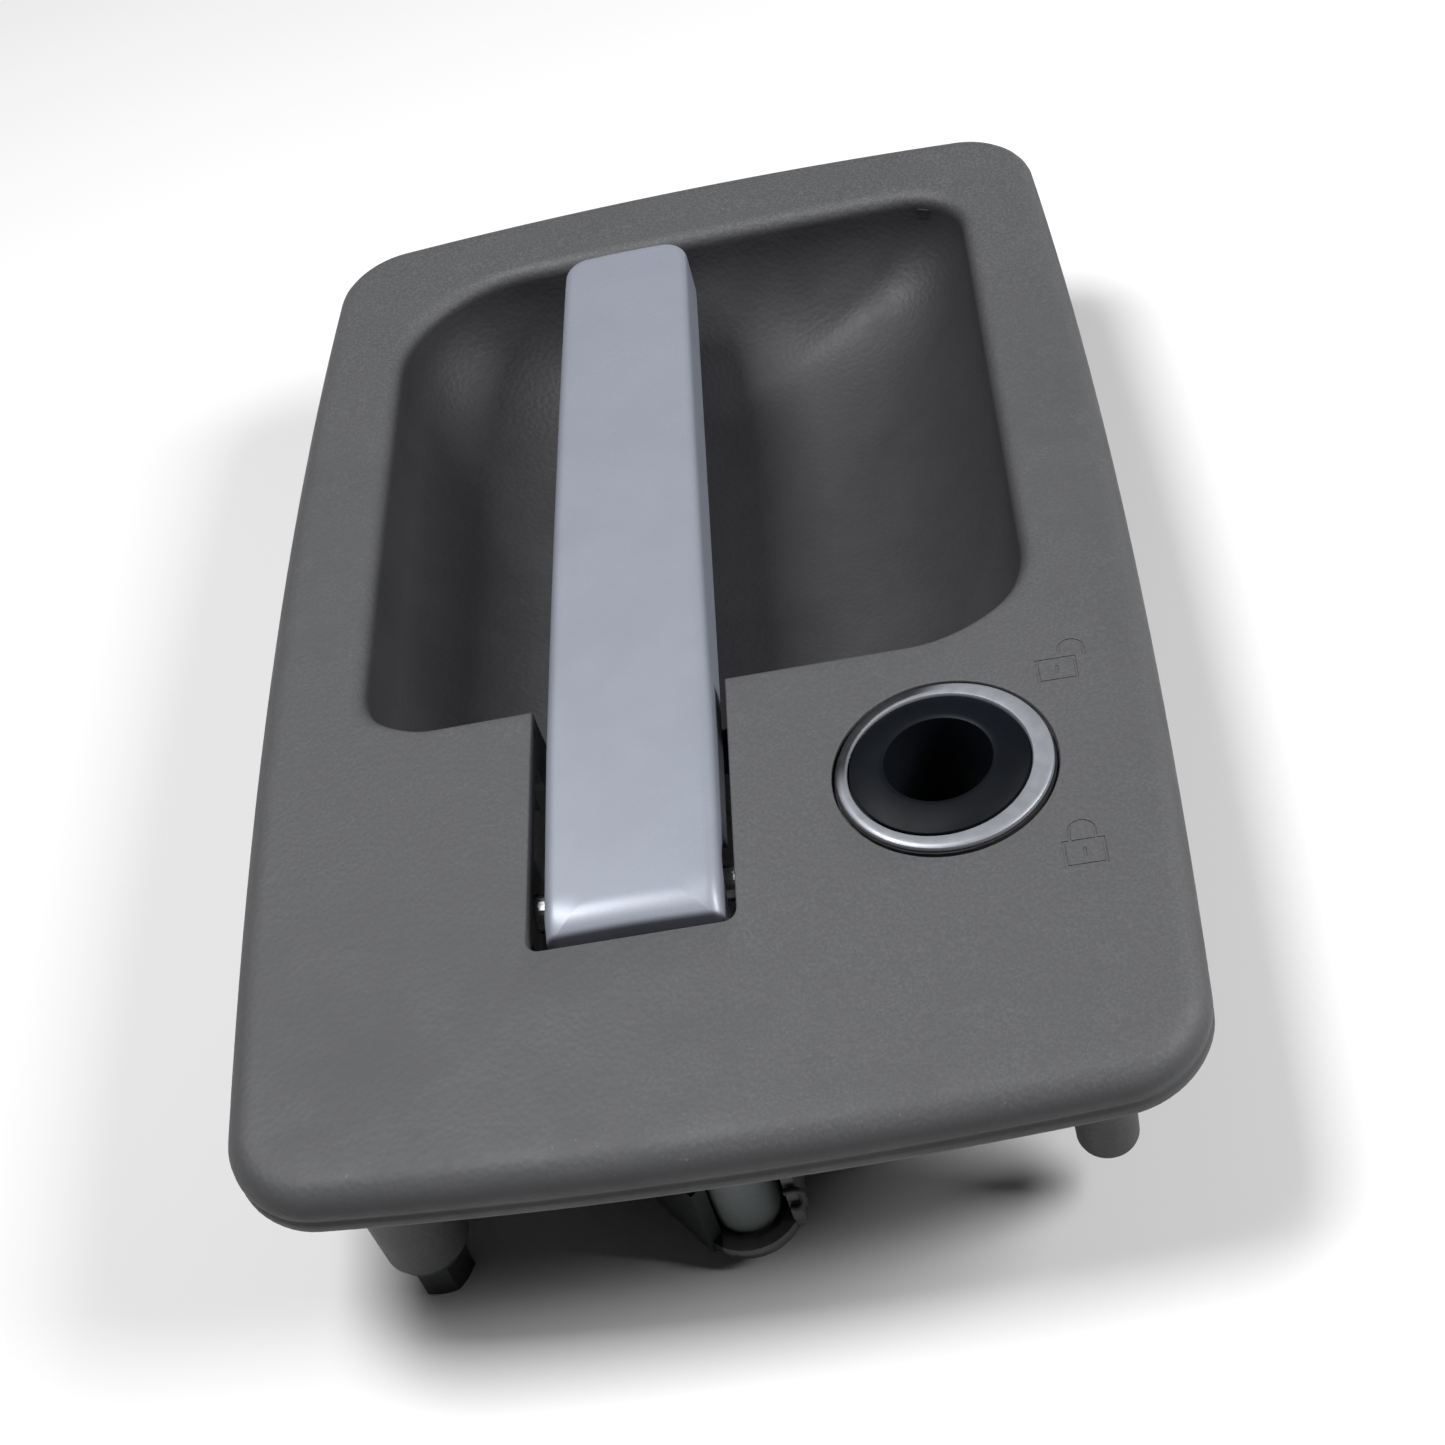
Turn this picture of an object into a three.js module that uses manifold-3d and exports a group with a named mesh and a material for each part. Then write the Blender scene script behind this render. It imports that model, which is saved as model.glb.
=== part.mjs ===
// Flush exterior door handle: a moulded fascia with a finger well, a sprung pull lever hinged at its
// lower end, a transfer lever behind it, and a lock sleeve whose key barrel is not fitted.
// Millimetres. +X runs across the fascia, +Y towards the lever's free end, +Z out of its face.
// The origin is under the middle of the fascia, on the plane that the rear fixings stand on.

import * as THREE from "three";
import { mergeVertices } from "three/addons/utils/BufferGeometryUtils.js";
import Module from "manifold-3d";

const wasm = await Module();
wasm.setup();

// ---- Driving dimensions ----

const FACE = 46; // height of the face's crest above the rest plane
const GAP = 0.3; // gap kept between pieces that touch
const WALL = 3; // fascia moulding's wall
const PLATE = { halfX: 70, halfY: 113, bulgeX: 3.6, bulgeY: 3.3, corner: 13, edge: 4.5 };
const CROWN = { x: 0.63, y: 2.47 }; // fall of the face from its crest to its edges
const RIM_DROP = 11.3; // from the crest to the rim's back face
const RIM_CHAMFER = 1.2;
const RIM = FACE - RIM_DROP;

const WELL = { x0: -55, x1: 55.5, y0: -29, y1: 95, corners: [20, 12, 25, 13] };
const BOWL = { depth: 30.5, lip: 2, left: 24, right: 44, bottom: 12, top: 34 };
const BOWL_ANGLES = [0, 20, 42, 62, 79]; // degrees round the quarter ellipse of the bowl's wall

const SLOT = { x0: -25.6, x1: 5.4, y1: -23, depth: 13 };
const PIVOT = { x: -9.2, y: -65, z: FACE - 8 };
const SLOT_END_R = 14.3; // the slot's lower end follows the lever's swing
const CHEEK = { wall: 3.4, y0: -73, y1: -57, depth: 14.5 };
const SHELF = { y0: -38, y1: -30, z0: FACE - 16, z1: FACE - 13 };

const LEVER = {
  tipY: 88.5, tipHalf: 12, rootHalf: 13.5, taperFrom: -40, tipRound: 5,
  crestY: 35, crest: 4, fall: 3, fallOver: 110, endR: 13.6, skin: 2.2,
};
const COVER_FLOOR = FACE - 7;
const CARRIER_FLOOR = FACE - 9.5;
const KNUCKLE = { r: 7, x0: -20.2, x1: 1.8, gapX0: -14.5, gapX1: -4 };
const CRANK = { x0: -20.2, x1: -14.8, top: 5, tip: 3.5, tipZ: FACE - 36 };

const PIN_R = 2.8;
const PIN_HEAD_R = 3.3;
const BUSH = { inner: 3.1, outer: 4.1, flange: 5.6, flangeT: 0.9, length: 5 };
const COVER_SCREW_Y = [-25, 62];
const BUMP_STOP_X = { left: -18, right: -2 };

// Stiffening ribs behind the face: [from, to, at], along X and along Y.
const RIB = { thickness: 1.6, z0: FACE - 7.4, z1: FACE - 3.4 };
const RIBS_X = [[-63, 63, -101], [-63, 63, -88], [-66, -34, -52]];
const RIBS_Y = [[-107, -34, -46], [-107, -73, -27.3], [-107, -57, 14], [-107, -34, 60]];

const BOLT_BOSS = { r: 6.7, end: FACE - 36, at: [[-50.1, -101], [-52, 100], [52, 100]] };
const BOLT = { hexR: 4.9, washerR: 6, washerT: 1.2, shankR: 2.5, shank: 16 };
const LOCATING_POST = { x: 53.8, y: -101, r: 4.6, end: FACE - 36 };
const INSERT = { outer: 4.2, inner: 2.8, length: 12 };

const BRACKET = { z0: FACE - 41, z1: FACE - 38, x0: -30, x1: 30, y0: -93, y1: -50, chamfer: 6 };
const BRACKET_BOSS = { r: 4.6, at: [[-24.5, -88], [24.5, -88]] };
const CUP = { x: -0.8, y: -100.8, bossR: 5.2, bossEnd: FACE - 40, inner: 6.3, outer: 8.3 };
const CUP_Z = { bottom: FACE - 41.8, lip: FACE - 39.5, floor: FACE - 40.4 };
const CHEEK_PLATE = { x0: 6, x1: 7.8, y0: -105, y1: -91, top: FACE - 26 }; // right of the cup
// The gusset left of the cup: its plan, and the outline that slopes its lower edge.
const GUSSET_PLAN = [[-6.8, -107.2], [-4.8, -105.2], [-14.8, -92], [-18.6, -92], [-18.6, -94]];
const GUSSET_SIDE = [[-4, 4.2], [-8, 4.2], [-13, 5.5], [-19.5, 9.5], [-19.5, 20], [-4, 20]];
const STOP = { half: 3, y: PIVOT.y - 1.2, height: 9 }; // the bracket's post for the spring's long leg
const SCREW = { shank: 1.9, head: 4.2, hole: 2.2, depth: 12 };

const SPRING = { x0: -13, x1: -5.5, r: 4.7, wireR: 0.6, turns: 4.5, stepsPerTurn: 10, stopLeg: 29 };

const TRANSFER = { x: 14, y: -62, hub: 6, z0: FACE - 36.4, z1: FACE - 32.4, pinR: 2.4 };
const ROD_WINDOW = { x0: -1, x1: 20, y0: -90, y1: -76 };
const TAB = { x0: -23, x1: -13.5, y0: -60.9, y1: -58, z1: FACE - 29 };
const ROD_ARM = { y: -83.4, r: 4.2, hole: 2.6 };
const ROD_CLIP = { halfX: 3.8, halfY: 3.2, height: 4.6, channelR: 1.5, mouthHalf: 0.9 };

const LOCK = { x: 39, y: -55, z: FACE - 0.8, hole: 13.2, seat: 17.2, seatDepth: 1.2 };
const SLEEVE = { bore: 8.2, body: 12.8, flange: 13.7, groove: 11.6, crest: 1.8, rear: 26, floor: 19 };
const BEZEL = { inner: 14, outer: 16.5, height: 0.8 };
const DRIVER = { r: 7.8, shaft: 4.4, top: 17, end: 33 };
const TAIL = { length: 20, z0: 30.2, z1: 28 };

// ---- Materials ----

function finish(color, roughness, metalness = 0) {
  return new THREE.MeshStandardMaterial({ color, roughness, metalness });
}

const charcoal = finish(0x67686c, 0.62);
const silver = finish(0xa0a5b3, 0.34, 0.35);
const black = finish(0x1d1f22, 0.55);
const rubber = finish(0x141416, 0.85);
const ringMetal = finish(0xb4b8c0, 0.28, 0.8);
const steel = finish(0x9a9da2, 0.35, 0.9);
const darkSteel = finish(0x2b2d2e, 0.45, 0.7);
const brass = finish(0xb08d4a, 0.4, 0.9);
const acetal = finish(0xd8d6cc, 0.5);

// ---- Solids ----

// A closed geometry as a solid: shared vertices merged, slivers at poles dropped.
function solid(geometry) {
  const bare = geometry.clone();
  bare.deleteAttribute("normal");
  bare.deleteAttribute("uv");
  const merged = mergeVertices(bare, 1e-4);
  const index = Array.from(merged.index.array);
  const triVerts = [];
  for (let i = 0; i < index.length; i += 3) {
    const [a, b, c] = index.slice(i, i + 3);
    if (a !== b && b !== c && c !== a) triVerts.push(a, b, c);
  }
  const vertProperties = merged.attributes.position.array;
  const mesh = new wasm.Mesh({ numProp: 3, vertProperties, triVerts: new Uint32Array(triVerts) });
  return new wasm.Manifold(mesh);
}

function geometryOf(body) {
  const mesh = body.getMesh();
  const geometry = new THREE.BufferGeometry();
  geometry.setAttribute("position", new THREE.BufferAttribute(new Float32Array(mesh.vertProperties), 3));
  geometry.setIndex(new THREE.BufferAttribute(new Uint32Array(mesh.triVerts), 1));
  geometry.computeVertexNormals();
  return geometry;
}

function join(...bodies) {
  return bodies.reduce((whole, body) => whole.add(body));
}

function cut(body, ...tools) {
  return tools.reduce((rest, tool) => rest.subtract(tool), body);
}

function block(x0, x1, y0, y1, z0, z1) {
  const geometry = new THREE.BoxGeometry(x1 - x0, y1 - y0, z1 - z0);
  return solid(geometry.translate((x0 + x1) / 2, (y0 + y1) / 2, (z0 + z1) / 2));
}

// A round bar along Z, or a cone when its two end radii differ.
function rod(x, y, z0, z1, r0, r1 = r0, sides = 24) {
  const geometry = new THREE.CylinderGeometry(r1, r0, z1 - z0, sides).rotateX(Math.PI / 2);
  return solid(geometry.translate(x, y, (z0 + z1) / 2));
}

// A round bar along X.
function rodX(x0, x1, y, z, r, sides = 24) {
  const geometry = new THREE.CylinderGeometry(r, r, x1 - x0, sides).rotateZ(-Math.PI / 2);
  return solid(geometry.translate((x0 + x1) / 2, y, z));
}

// A flat outline extended from one place to another along the third of the given axes.
function extended(points, from, to, axes) {
  const shape = new THREE.Shape(points.map(([u, v]) => new THREE.Vector2(u, v)));
  const geometry = new THREE.ExtrudeGeometry(shape, { depth: to - from, bevelEnabled: false });
  return solid(geometry.translate(0, 0, from).applyMatrix4(new THREE.Matrix4().makeBasis(...axes)));
}

const ALONG_X = new THREE.Vector3(1, 0, 0);
const ALONG_Y = new THREE.Vector3(0, 1, 0);
const ALONG_Z = new THREE.Vector3(0, 0, 1);

// [x, y] points raised along Z.
function prism(points, z0, z1) {
  return extended(points, z0, z1, [ALONG_X, ALONG_Y, ALONG_Z]);
}

// [y, z] points extended along X.
function prismX(points, x0, x1) {
  return extended(points, x0, x1, [ALONG_Y, ALONG_Z, ALONG_X]);
}

// [x, z] points extended along Y.
function prismY(points, y0, y1) {
  return extended(points, -y1, -y0, [ALONG_X, ALONG_Z, ALONG_Y.clone().negate()]);
}

// A closed profile of [radius, z] points turned about a vertical axis.
function turned(x, y, profile, sides = 32) {
  const closed = [...profile, profile[0]].map(([r, z]) => new THREE.Vector2(r, z));
  if (THREE.ShapeUtils.area(closed) < 0) closed.reverse();
  const geometry = new THREE.LatheGeometry(closed, sides).rotateX(Math.PI / 2);
  return solid(geometry.translate(x, y, 0));
}

// Rings of equal point count skinned into one closed body, with a fan over each end.
function loft(rings) {
  const n = rings[0].length;
  const points = rings.flat();
  const faces = [];
  for (let r = 0; r + 1 < rings.length; r++) {
    for (let i = 0; i < n; i++) {
      const [a, b] = [r * n + i, r * n + ((i + 1) % n)];
      faces.push([a, b, b + n], [a, b + n, a + n]);
    }
  }
  for (const [ring, start, flip] of [[rings[0], 0, true], [rings.at(-1), points.length - n, false]]) {
    const centre = ring.reduce((sum, p) => sum.clone().add(p)).divideScalar(n);
    const hub = points.push(centre) - 1;
    for (let i = 0; i < n; i++) {
      const [a, b] = [start + i, start + ((i + 1) % n)];
      faces.push(flip ? [hub, b, a] : [hub, a, b]);
    }
  }
  const volume = faces.reduce((sum, [a, b, c]) => {
    return sum + points[a].dot(new THREE.Vector3().crossVectors(points[b], points[c]));
  }, 0);
  const outward = volume > 0 ? faces : faces.map(([a, b, c]) => [a, c, b]);
  const geometry = new THREE.BufferGeometry().setFromPoints(points);
  geometry.setIndex(outward.flat());
  return solid(geometry);
}

// A round wire along a smooth path through the given points.
function wire(points, radius, steps, sides = 6) {
  const section = new THREE.Shape();
  for (let i = 0; i < sides; i++) {
    const angle = (i / sides) * 2 * Math.PI;
    const [x, y] = [radius * Math.cos(angle), radius * Math.sin(angle)];
    if (i === 0) section.moveTo(x, y);
    else section.lineTo(x, y);
  }
  const extrudePath = new THREE.CatmullRomCurve3(points, false, "centripetal");
  return solid(new THREE.ExtrudeGeometry(section, { steps, extrudePath, bevelEnabled: false }));
}

// ---- Outlines ----

const ARC_STEPS = 4;
const SIDE_STEPS = 5;

// A rounded rectangle, anticlockwise from its lower right corner, always with the same point count.
function outline({ x0, x1, y0, y1, corners }) {
  const centres = [[x1, y0, -1, 1], [x1, y1, -1, -1], [x0, y1, 1, -1], [x0, y0, 1, 1]];
  const arcs = centres.map(([x, y, inX, inY], i) => {
    const r = corners[i];
    return Array.from({ length: ARC_STEPS + 1 }, (_, k) => {
      const angle = ((i - 1 + k / ARC_STEPS) * Math.PI) / 2;
      return [x + inX * r + r * Math.cos(angle), y + inY * r + r * Math.sin(angle)];
    });
  });
  return arcs.flatMap((arc, i) => {
    const [from, to] = [arc.at(-1), arcs[(i + 1) % 4][0]];
    const side = Array.from({ length: SIDE_STEPS - 1 }, (_, k) => {
      const t = (k + 1) / SIDE_STEPS;
      return [from[0] + (to[0] - from[0]) * t, from[1] + (to[1] - from[1]) * t];
    });
    return [...arc, ...side];
  });
}

function faceHeight(x, y) {
  return FACE - CROWN.x * (x / PLATE.halfX) ** 2 - CROWN.y * (y / PLATE.halfY) ** 2;
}

// The fascia's outline drawn in by inset, with its sides bowed outwards.
function plateOutline(inset) {
  const [hx, hy] = [PLATE.halfX - inset, PLATE.halfY - inset];
  const corners = Array(4).fill(Math.max(PLATE.corner - inset, 2));
  return outline({ x0: -hx, x1: hx, y0: -hy, y1: hy, corners }).map(([x, y]) => [
    x * (1 + (PLATE.bulgeX / PLATE.halfX) * (1 - (y / PLATE.halfY) ** 2)),
    y * (1 + (PLATE.bulgeY / PLATE.halfY) * (1 - (x / PLATE.halfX) ** 2)),
  ]);
}

// The well's outline at one angle of the bowl's quarter ellipse, moved out by grow.
function wellOutline(degrees, grow) {
  const reach = 1 - Math.cos(THREE.MathUtils.degToRad(degrees));
  return outline({
    x0: WELL.x0 + BOWL.left * reach - grow,
    x1: WELL.x1 - BOWL.right * reach + grow,
    y0: WELL.y0 + BOWL.bottom * reach - grow,
    y1: WELL.y1 - BOWL.top * reach + grow,
    corners: WELL.corners.map((r) => r * (1 - 0.25 * reach) + grow),
  });
}

function ringAt(points, height) {
  return points.map(([x, y]) => new THREE.Vector3(x, y, height(x, y)));
}

function dropOf(p) {
  return faceHeight(p.x, p.y) - p.z;
}

// A ring part of the way from one to another, keeping their depth below the crowned face.
function between(ringA, ringB, t) {
  return ringA.map((a, i) => {
    const b = ringB[i];
    const [x, y] = [THREE.MathUtils.lerp(a.x, b.x, t), THREE.MathUtils.lerp(a.y, b.y, t)];
    return new THREE.Vector3(x, y, faceHeight(x, y) - THREE.MathUtils.lerp(dropOf(a), dropOf(b), t));
  });
}

// ---- Fascia housing ----

function bowlRings(offset) {
  return BOWL_ANGLES.map((degrees) => {
    const angle = THREE.MathUtils.degToRad(degrees);
    const drop = BOWL.lip + (BOWL.depth - BOWL.lip) * Math.sin(angle) + offset * Math.sin(angle);
    return ringAt(wellOutline(degrees, offset * Math.cos(angle)), (x, y) => faceHeight(x, y) - drop);
  });
}

// One moulded skin: the bowl, the crowned face, the rounded edge, the rim, and the same again behind.
function fasciaSkin() {
  const at = (inset, drop) => ringAt(plateOutline(inset), (x, y) => faceHeight(x, y) - drop);
  const flat = (inset, z) => ringAt(plateOutline(inset), () => z);
  const edge = [0, 30, 60, 90].map((degrees) => {
    const angle = THREE.MathUtils.degToRad(degrees);
    return at(PLATE.edge * (1 - Math.sin(angle)), PLATE.edge * (1 - Math.cos(angle)));
  });
  const lip = ringAt(wellOutline(0, BOWL.lip), faceHeight);
  const face = [0.35, 0.7].map((t) => between(lip, edge[0], t));
  const front = [...bowlRings(0).reverse(), lip, ...face, ...edge];
  const rim = [flat(0, RIM + RIM_CHAMFER), flat(RIM_CHAMFER, RIM), flat(WALL, RIM)];
  const inner = at(WALL, WALL + 1);
  const backLip = ringAt(wellOutline(0, WALL + BOWL.lip), (x, y) => faceHeight(x, y) - WALL);
  return loft([...front, ...rim, inner, between(inner, backLip, 0.5), backLip, ...bowlRings(WALL)]);
}

function boltBosses() {
  return BOLT_BOSS.at.map(([x, y]) => {
    const post = rod(x, y, BOLT_BOSS.end, FACE - 5, BOLT_BOSS.r, BOLT_BOSS.r + 0.6);
    return cut(post, rod(x, y, BOLT_BOSS.end - 1, BOLT_BOSS.end + BOLT.shank + 1, INSERT.outer + GAP));
  });
}

function bracketBosses() {
  const bosses = BRACKET_BOSS.at.map(([x, y]) => {
    const post = rod(x, y, BRACKET.z1 + GAP, FACE - 4, BRACKET_BOSS.r);
    return cut(post, rod(x, y, BRACKET.z1, BRACKET.z1 + SCREW.depth, SCREW.hole));
  });
  const cupBoss = rod(CUP.x, CUP.y, CUP.bossEnd, FACE - 5, CUP.bossR, CUP.bossR + 0.4);
  const cupPilot = rod(CUP.x, CUP.y, CUP.bossEnd - 1, CUP.bossEnd + SCREW.depth, SCREW.hole);
  return [...bosses, cut(cupBoss, cupPilot)];
}

function ribs() {
  const half = RIB.thickness / 2;
  return [
    ...RIBS_X.map(([from, to, at]) => block(from, to, at - half, at + half, RIB.z0, RIB.z1)),
    ...RIBS_Y.map(([from, to, at]) => block(at - half, at + half, from, to, RIB.z0, RIB.z1)),
  ];
}

function fasciaHousing() {
  const cheeks = [[SLOT.x0 - CHEEK.wall, SLOT.x0], [SLOT.x1, SLOT.x1 + CHEEK.wall]];
  const solids = cheeks.map(([x0, x1]) => block(x0, x1, CHEEK.y0, CHEEK.y1, FACE - CHEEK.depth, FACE - 3));
  const shelf = block(SLOT.x0 - 2, SLOT.x1 + 2, SHELF.y0, SHELF.y1, SHELF.z0, SHELF.z1);
  const shelfSides = [[SLOT.x0 - 2, SLOT.x0], [SLOT.x1, SLOT.x1 + 2]].map(([x0, x1]) => {
    return block(x0, x1, SHELF.y0, SHELF.y1, SHELF.z0, FACE - 2.5);
  });
  const post = LOCATING_POST;
  const locating = [
    rod(post.x, post.y, post.end + 2, FACE - 5, post.r, post.r + 0.5),
    rod(post.x, post.y, post.end, post.end + 2, post.r - 1.4, post.r),
  ];
  const posts = [...boltBosses(), ...bracketBosses(), ...locating];
  return cut(
    join(fasciaSkin(), ...solids, shelf, ...shelfSides, ...posts, ...ribs()),
    block(SLOT.x0, SLOT.x1, PIVOT.y, SLOT.y1, FACE - SLOT.depth, FACE + 5),
    block(SLOT.x0, SLOT.x1, PIVOT.y - SLOT_END_R / 2, PIVOT.y + 1, FACE - CHEEK.depth - 2, FACE + 5),
    rodX(SLOT.x0, SLOT.x1, PIVOT.y, PIVOT.z, SLOT_END_R, 48),
    rodX(SLOT.x0 - 6, SLOT.x1 + 6, PIVOT.y, PIVOT.z, PIN_R + GAP),
    rod(LOCK.x, LOCK.y, LOCK.z - LOCK.seatDepth, LOCK.z + 4, LOCK.seat, LOCK.seat, 40),
    rod(LOCK.x, LOCK.y, FACE - 12, LOCK.z, LOCK.hole, LOCK.hole, 40),
  );
}

function perimeterSeal() {
  const [top, bottom] = [FACE - 7.8, RIM - 0.6];
  const outer = prism(plateOutline(WALL + 2 * GAP), bottom, top);
  return cut(outer, prism(plateOutline(WALL + 3), bottom - 1, top + 1));
}

// ---- Pull lever ----

function leverTop(y) {
  return FACE + LEVER.crest - LEVER.fall * ((y - LEVER.crestY) / LEVER.fallOver) ** 2;
}

// The lever's plan: it narrows towards its free end, whose corners are rounded.
function leverPlan(inset) {
  const tip = LEVER.tipY - inset;
  const round = LEVER.tipRound - inset;
  const half = (y) => {
    const t = Math.max(0, (y - LEVER.taperFrom) / (LEVER.tipY - LEVER.taperFrom));
    return THREE.MathUtils.lerp(LEVER.rootHalf, LEVER.tipHalf, t) - inset;
  };
  const corner = [0, 30, 60, 90].map((degrees) => {
    const angle = THREE.MathUtils.degToRad(degrees);
    return [half(tip) - round * (1 - Math.cos(angle)), tip - round * (1 - Math.sin(angle))];
  });
  const right = [[half(-90), -90], [half(LEVER.taperFrom), LEVER.taperFrom], ...corner];
  const left = right.map(([x, y]) => [-x, y]).reverse();
  return [...right, ...left].map(([x, y]) => [PIVOT.x + x, y]);
}

// The lever's side profile: a bowed top, and a lower end that is an arc about the hinge.
function leverProfile(inset, floor) {
  const radius = LEVER.endR - inset;
  const top = [];
  for (let y = LEVER.tipY - inset; y > PIVOT.y - radius; y -= 14) {
    if (Math.hypot(y - PIVOT.y, leverTop(y) - inset - PIVOT.z) > radius && y < PIVOT.y) break;
    top.push([y, leverTop(y) - inset]);
  }
  const arcFrom = THREE.MathUtils.degToRad(138);
  const arcTo = Math.PI + Math.asin((PIVOT.z - floor) / radius);
  const arc = Array.from({ length: 7 }, (_, k) => {
    const angle = THREE.MathUtils.lerp(arcFrom, arcTo, k / 6);
    return [PIVOT.y + radius * Math.cos(angle), PIVOT.z + radius * Math.sin(angle)];
  });
  return [...top, ...arc, [LEVER.tipY - inset, floor]].reverse();
}

function leverBlank(inset, floor) {
  const plan = prism(leverPlan(inset), floor - 1, FACE + 10);
  return plan.intersect(prismX(leverProfile(inset, floor), -40, 20));
}

function coverBoss(y, extra) {
  return rod(PIVOT.x, y, FACE - 3.5 - extra, leverTop(y) - 1, 3.2 + extra);
}

function leverCover() {
  const shell = cut(leverBlank(0, COVER_FLOOR), leverBlank(LEVER.skin, COVER_FLOOR - 4));
  const bosses = COVER_SCREW_Y.map((y) => coverBoss(y, 0));
  const pilots = COVER_SCREW_Y.map((y) => rod(PIVOT.x, y, FACE - 6, leverTop(y) - 1.6, 1.7, 1.7, 16));
  const hingeEyes = rodX(-40, 20, PIVOT.y, PIVOT.z, BUSH.flange + 0.7);
  return cut(join(shell, ...bosses), ...pilots, hingeEyes);
}

function leverCarrier() {
  const beam = leverBlank(LEVER.skin + GAP, CARRIER_FLOOR);
  const knuckle = rodX(KNUCKLE.x0, KNUCKLE.x1, PIVOT.y, PIVOT.z, KNUCKLE.r, 32);
  const crank = prismX([
    [PIVOT.y - CRANK.top, PIVOT.z], [PIVOT.y - CRANK.tip, CRANK.tipZ],
    [PIVOT.y + CRANK.tip, CRANK.tipZ], [PIVOT.y + CRANK.top, PIVOT.z],
  ], CRANK.x0, CRANK.x1);
  const springRoom = [
    rodX(KNUCKLE.gapX0, KNUCKLE.gapX1, PIVOT.y, PIVOT.z, 6.6, 24),
    block(KNUCKLE.gapX0, KNUCKLE.gapX1, PIVOT.y - 6.6, PIVOT.y + KNUCKLE.r + 1, PIVOT.z - 20, PIVOT.z),
  ];
  const screwRoom = COVER_SCREW_Y.flatMap((y) => [
    coverBoss(y, GAP),
    rod(PIVOT.x, y, CARRIER_FLOOR - 1, CARRIER_FLOOR + 2.4, 3.9),
    rod(PIVOT.x, y, CARRIER_FLOOR - 1, FACE, 1.9, 1.9, 16),
  ]);
  const bore = rodX(-40, 20, PIVOT.y, PIVOT.z, BUSH.outer + GAP / 2);
  return cut(join(beam, knuckle, crank), ...springRoom, ...screwRoom, bore);
}

function coverScrew(y) {
  const head = rod(PIVOT.x, y, CARRIER_FLOOR + 0.2, CARRIER_FLOOR + 2.2, 3.4, 3.4, 16);
  const tip = rod(PIVOT.x, y, CARRIER_FLOOR + 2, leverTop(y) - 2, 1.4, 1.4, 12);
  const drive = block(PIVOT.x - 0.5, PIVOT.x + 0.5, y - 2.4, y + 2.4, CARRIER_FLOOR, CARRIER_FLOOR + 1.2);
  return cut(join(head, tip), drive);
}

// A flanged bush pressed into a knuckle from its outer side; side is -1 for the left one.
function hingeBush(side) {
  const face = side < 0 ? KNUCKLE.x0 : KNUCKLE.x1;
  const [sleeveIn, flangeOut] = [face - side * BUSH.length, face + side * (BUSH.flangeT + 0.1)];
  const span = (a, b) => [Math.min(a, b), Math.max(a, b)];
  const sleeve = rodX(...span(sleeveIn, flangeOut), PIVOT.y, PIVOT.z, BUSH.outer);
  const flange = rodX(...span(face + side * 0.1, flangeOut), PIVOT.y, PIVOT.z, BUSH.flange);
  return cut(join(sleeve, flange), rodX(-40, 20, PIVOT.y, PIVOT.z, BUSH.inner));
}

const PIN_ENDS = { head: SLOT.x0 - CHEEK.wall - GAP, tail: SLOT.x1 + CHEEK.wall + 3 };

function hingePin() {
  const shaft = rodX(PIN_ENDS.head - 1.6, PIN_ENDS.tail, PIVOT.y, PIVOT.z, PIN_R);
  const head = rodX(PIN_ENDS.head - 1.6, PIN_ENDS.head, PIVOT.y, PIVOT.z, PIN_HEAD_R);
  const [g0, g1] = [PIN_ENDS.tail - 2.4, PIN_ENDS.tail - 1.2];
  const groove = cut(rodX(g0, g1, PIVOT.y, PIVOT.z, 4), rodX(g0 - 1, g1 + 1, PIVOT.y, PIVOT.z, 2));
  return cut(join(shaft, head), groove);
}

// A snap ring with a mouth, lying across an axis through its centre along Z.
function snapRing(inner, outer, thickness, mouth) {
  const ring = cut(rod(0, 0, -thickness / 2, thickness / 2, outer), rod(0, 0, -2, 2, inner));
  return cut(ring, block(-mouth / 2, mouth / 2, -outer - 1, 0, -2, 2));
}

// The coil turns about the hinge; one leg hooks the crank, the other bears on the bracket's stop.
function returnSpring() {
  const { x0, x1, r, wireR, turns, stepsPerTurn } = SPRING;
  const steps = turns * stepsPerTurn;
  const point = (x, y, z) => new THREE.Vector3(x, PIVOT.y + y, PIVOT.z + z);
  const coil = Array.from({ length: steps + 1 }, (_, k) => {
    const angle = (k / stepsPerTurn) * 2 * Math.PI;
    return point(THREE.MathUtils.lerp(x0, x1, k / steps), r * Math.cos(angle), r * Math.sin(angle));
  });
  const crankLeg = [point(x0 - 6, r + 0.4, -12.5), point(x0 - 2, r + 0.4, -12.3), point(x0, r + 0.1, -8)];
  const stopLeg = [point(x1, -r, -6), point(x1, -r, -SPRING.stopLeg)];
  return wire([...crankLeg, ...coil, ...stopLeg], wireR, steps + 14);
}

// Rubber buffers on the shelf, under the closed lever.
function bumpStop(x) {
  const y = (SHELF.y0 + SHELF.y1) / 2;
  return rod(x, y, SHELF.z1 + 0.05, CARRIER_FLOOR - GAP, 3, 2.4, 16);
}

// ---- Mechanism bracket and transfer lever ----

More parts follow.
